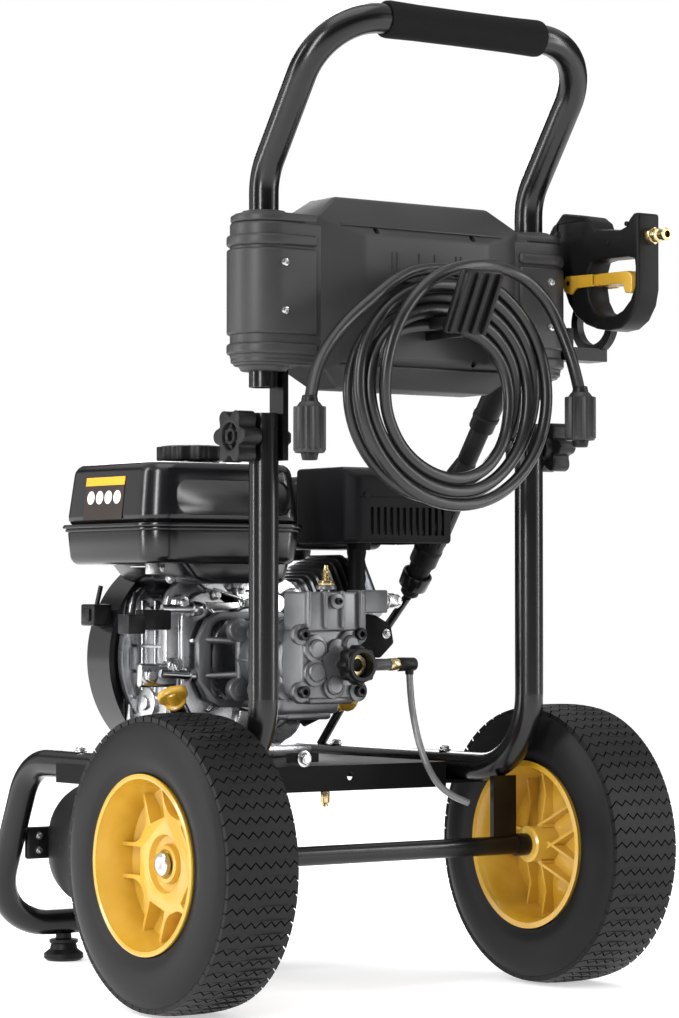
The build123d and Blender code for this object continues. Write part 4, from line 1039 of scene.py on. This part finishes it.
# ---- Hose connectors ----
# Screw connectors inside fluted sleeves of dark grey nylon, with a short black swivel below.
sleeve_grey = surface(new_material("moulded_nylon_dark_grey", "#242425", 0.4, Specular_IOR_Level=0.35),
    0.0008, 0.00004, (0.36, 0.46), ("#212122", "#2a2a2b"))
sleeves, swivels = [], []
for x, y, top in ((-203.5, -165, 601), (140, -163, 623)):
    outline = lobed(96, lambda turn: 15.2 + 0.9 * math.cos(16 * turn),
        lambda u, v: place(x + u, y + v, top - 45))
    sleeves.append(soften(slab("fluted", outline, (0, 0, 43)), 1.0, 2, 60))
    sleeves.append(bar("shoulder", (x, y, top - 3), (x, y, top + 3), 13.5, 9, 32, 1.2))
    sleeves.append(bar("skirt", (x, y, top - 47), (x, y, top - 43), 14.5, 15.6, 32, 0.8))
    swivels.append(bar("swivel", (x, y, top - 54), (x, y, top - 46), 7.4, 9, 32, 0.8))
    swivels.append(bar("gland", (x, y, top + 2), (x, y, top + 9), 8.6, 7.2, 32, 0.8))
fluted = finish("fluted_sleeves", sleeves, sleeve_grey, "handle", "sleeve_grey", "hose_connectors")
swivel_ends = finish("swivel_ends", swivels, nylon_black, "handle", "black_plastic")

# ---- High-pressure hose ----
# Steel-braided hose with an extruded black rubber cover, 12.5 mm outside, hung on the
# hook in loose turns: satin, so each turn carries one soft line of light.
HOSE_D = 0.0125
STEPS = 16


def coil_point(turn):
    """Where the hose is after so many turns from the top of the hook, clockwise."""
    angle = 2 * math.pi * turn
    top, side = math.cos(angle), math.sin(angle)
    right, left = max(side, 0), max(-side, 0)
    up, down = max(top, 0), max(-top, 0)
    inward = 14.4 * up ** 2 + 12.9 * right ** 2 + 6.6 * left ** 2 + 6.6 * down ** 2
    spread = 1 / math.cos(math.pi / STEPS / 1.6)
    sway = 15.5 * math.sin(angle / 2 - math.pi / 8) ** 2
    return place(7 + (130.5 - inward * turn) * side * spread,
        -115 + sway * (1 if int(turn - 0.125) % 2 else -1),
        626 + (122.5 - inward * turn) * top * spread)


def route(*points):
    """A hose's points, placed."""
    return [place(*point) for point in points]


left_tail = route((-203.5, -165, 601), (-190, -152, 627), (-168, -138, 654), (-141, -128, 679),
    (-119, -125, 697), (-97, -125, 713), (-68, -122, 733), (-36, -118, 746))
last_turn = route((-86, -134, 592), (-94, -139, 622), (-93, -143, 654), (-82, -145, 687),
    (-62, -146, 715), (-34, -146, 738), (4, -145, 750), (42, -141, 753))
right_tail = route((77, -132, 749), (102, -131, 738), (126, -132, 717), (139, -138, 685),
    (144, -150, 650), (140, -163, 623))
coil = [coil_point(step / STEPS) for step in range(75)]


def flexible(name, points, radius, material):
    """A hose as a smooth curve whose control points are its route."""
    data = bpy.data.curves.new(name, "CURVE")
    data.dimensions = "3D"
    spline = data.splines.new("NURBS")
    spline.points.add(len(points) - 1)
    for point, at in zip(spline.points, points):
        point.co = (*at, 1)
    spline.order_u = 3
    spline.use_endpoint_u = True
    spline.resolution_u = 6
    data.bevel_depth = radius
    data.bevel_resolution = 5
    piece = bpy.data.objects.new(name, data)
    bpy.context.collection.objects.link(piece)
    data.materials.append(material)
    return piece


hose_cover = surface(new_material("extruded_rubber_black", "#151516", 0.32), 0.001, 0.00003,
    (0.28, 0.38), ("#121213", "#1a1a1b"))
pressure_hose = flexible("pressure_hose", left_tail + coil + last_turn + right_tail, HOSE_D / 2, hose_cover)
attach(pressure_hose, "handle")
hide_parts("hose_coil", "hose_tail_left", "hose_tail_right")

# ---- Detergent hose ----
# Smoky PVC tube pushed on the injector's elbow. It hangs in front of the deck, and its
# open end waits for the detergent bottle: glossy, with a pale line down each side.
smoky_pvc = surface(new_material("extruded_pvc_smoky", "#6c6d6e", 0.12, Coat_Weight=0.6), 0.0015,
    0.00001, (0.1, 0.16), ("#5e5f60", "#7d7e7f"))
siphon_route = route((107, 84, 334), (105, 80, 316), (99, 68, 291), (97, 54, 258), (101, 42, 231),
    (112, 36, 212), (129, 32, 201), (145, 30, 195))
siphon = flexible("siphon_tube", siphon_route, 0.00375, smoky_pvc)
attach(siphon, "chassis")
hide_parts("siphon_hose")
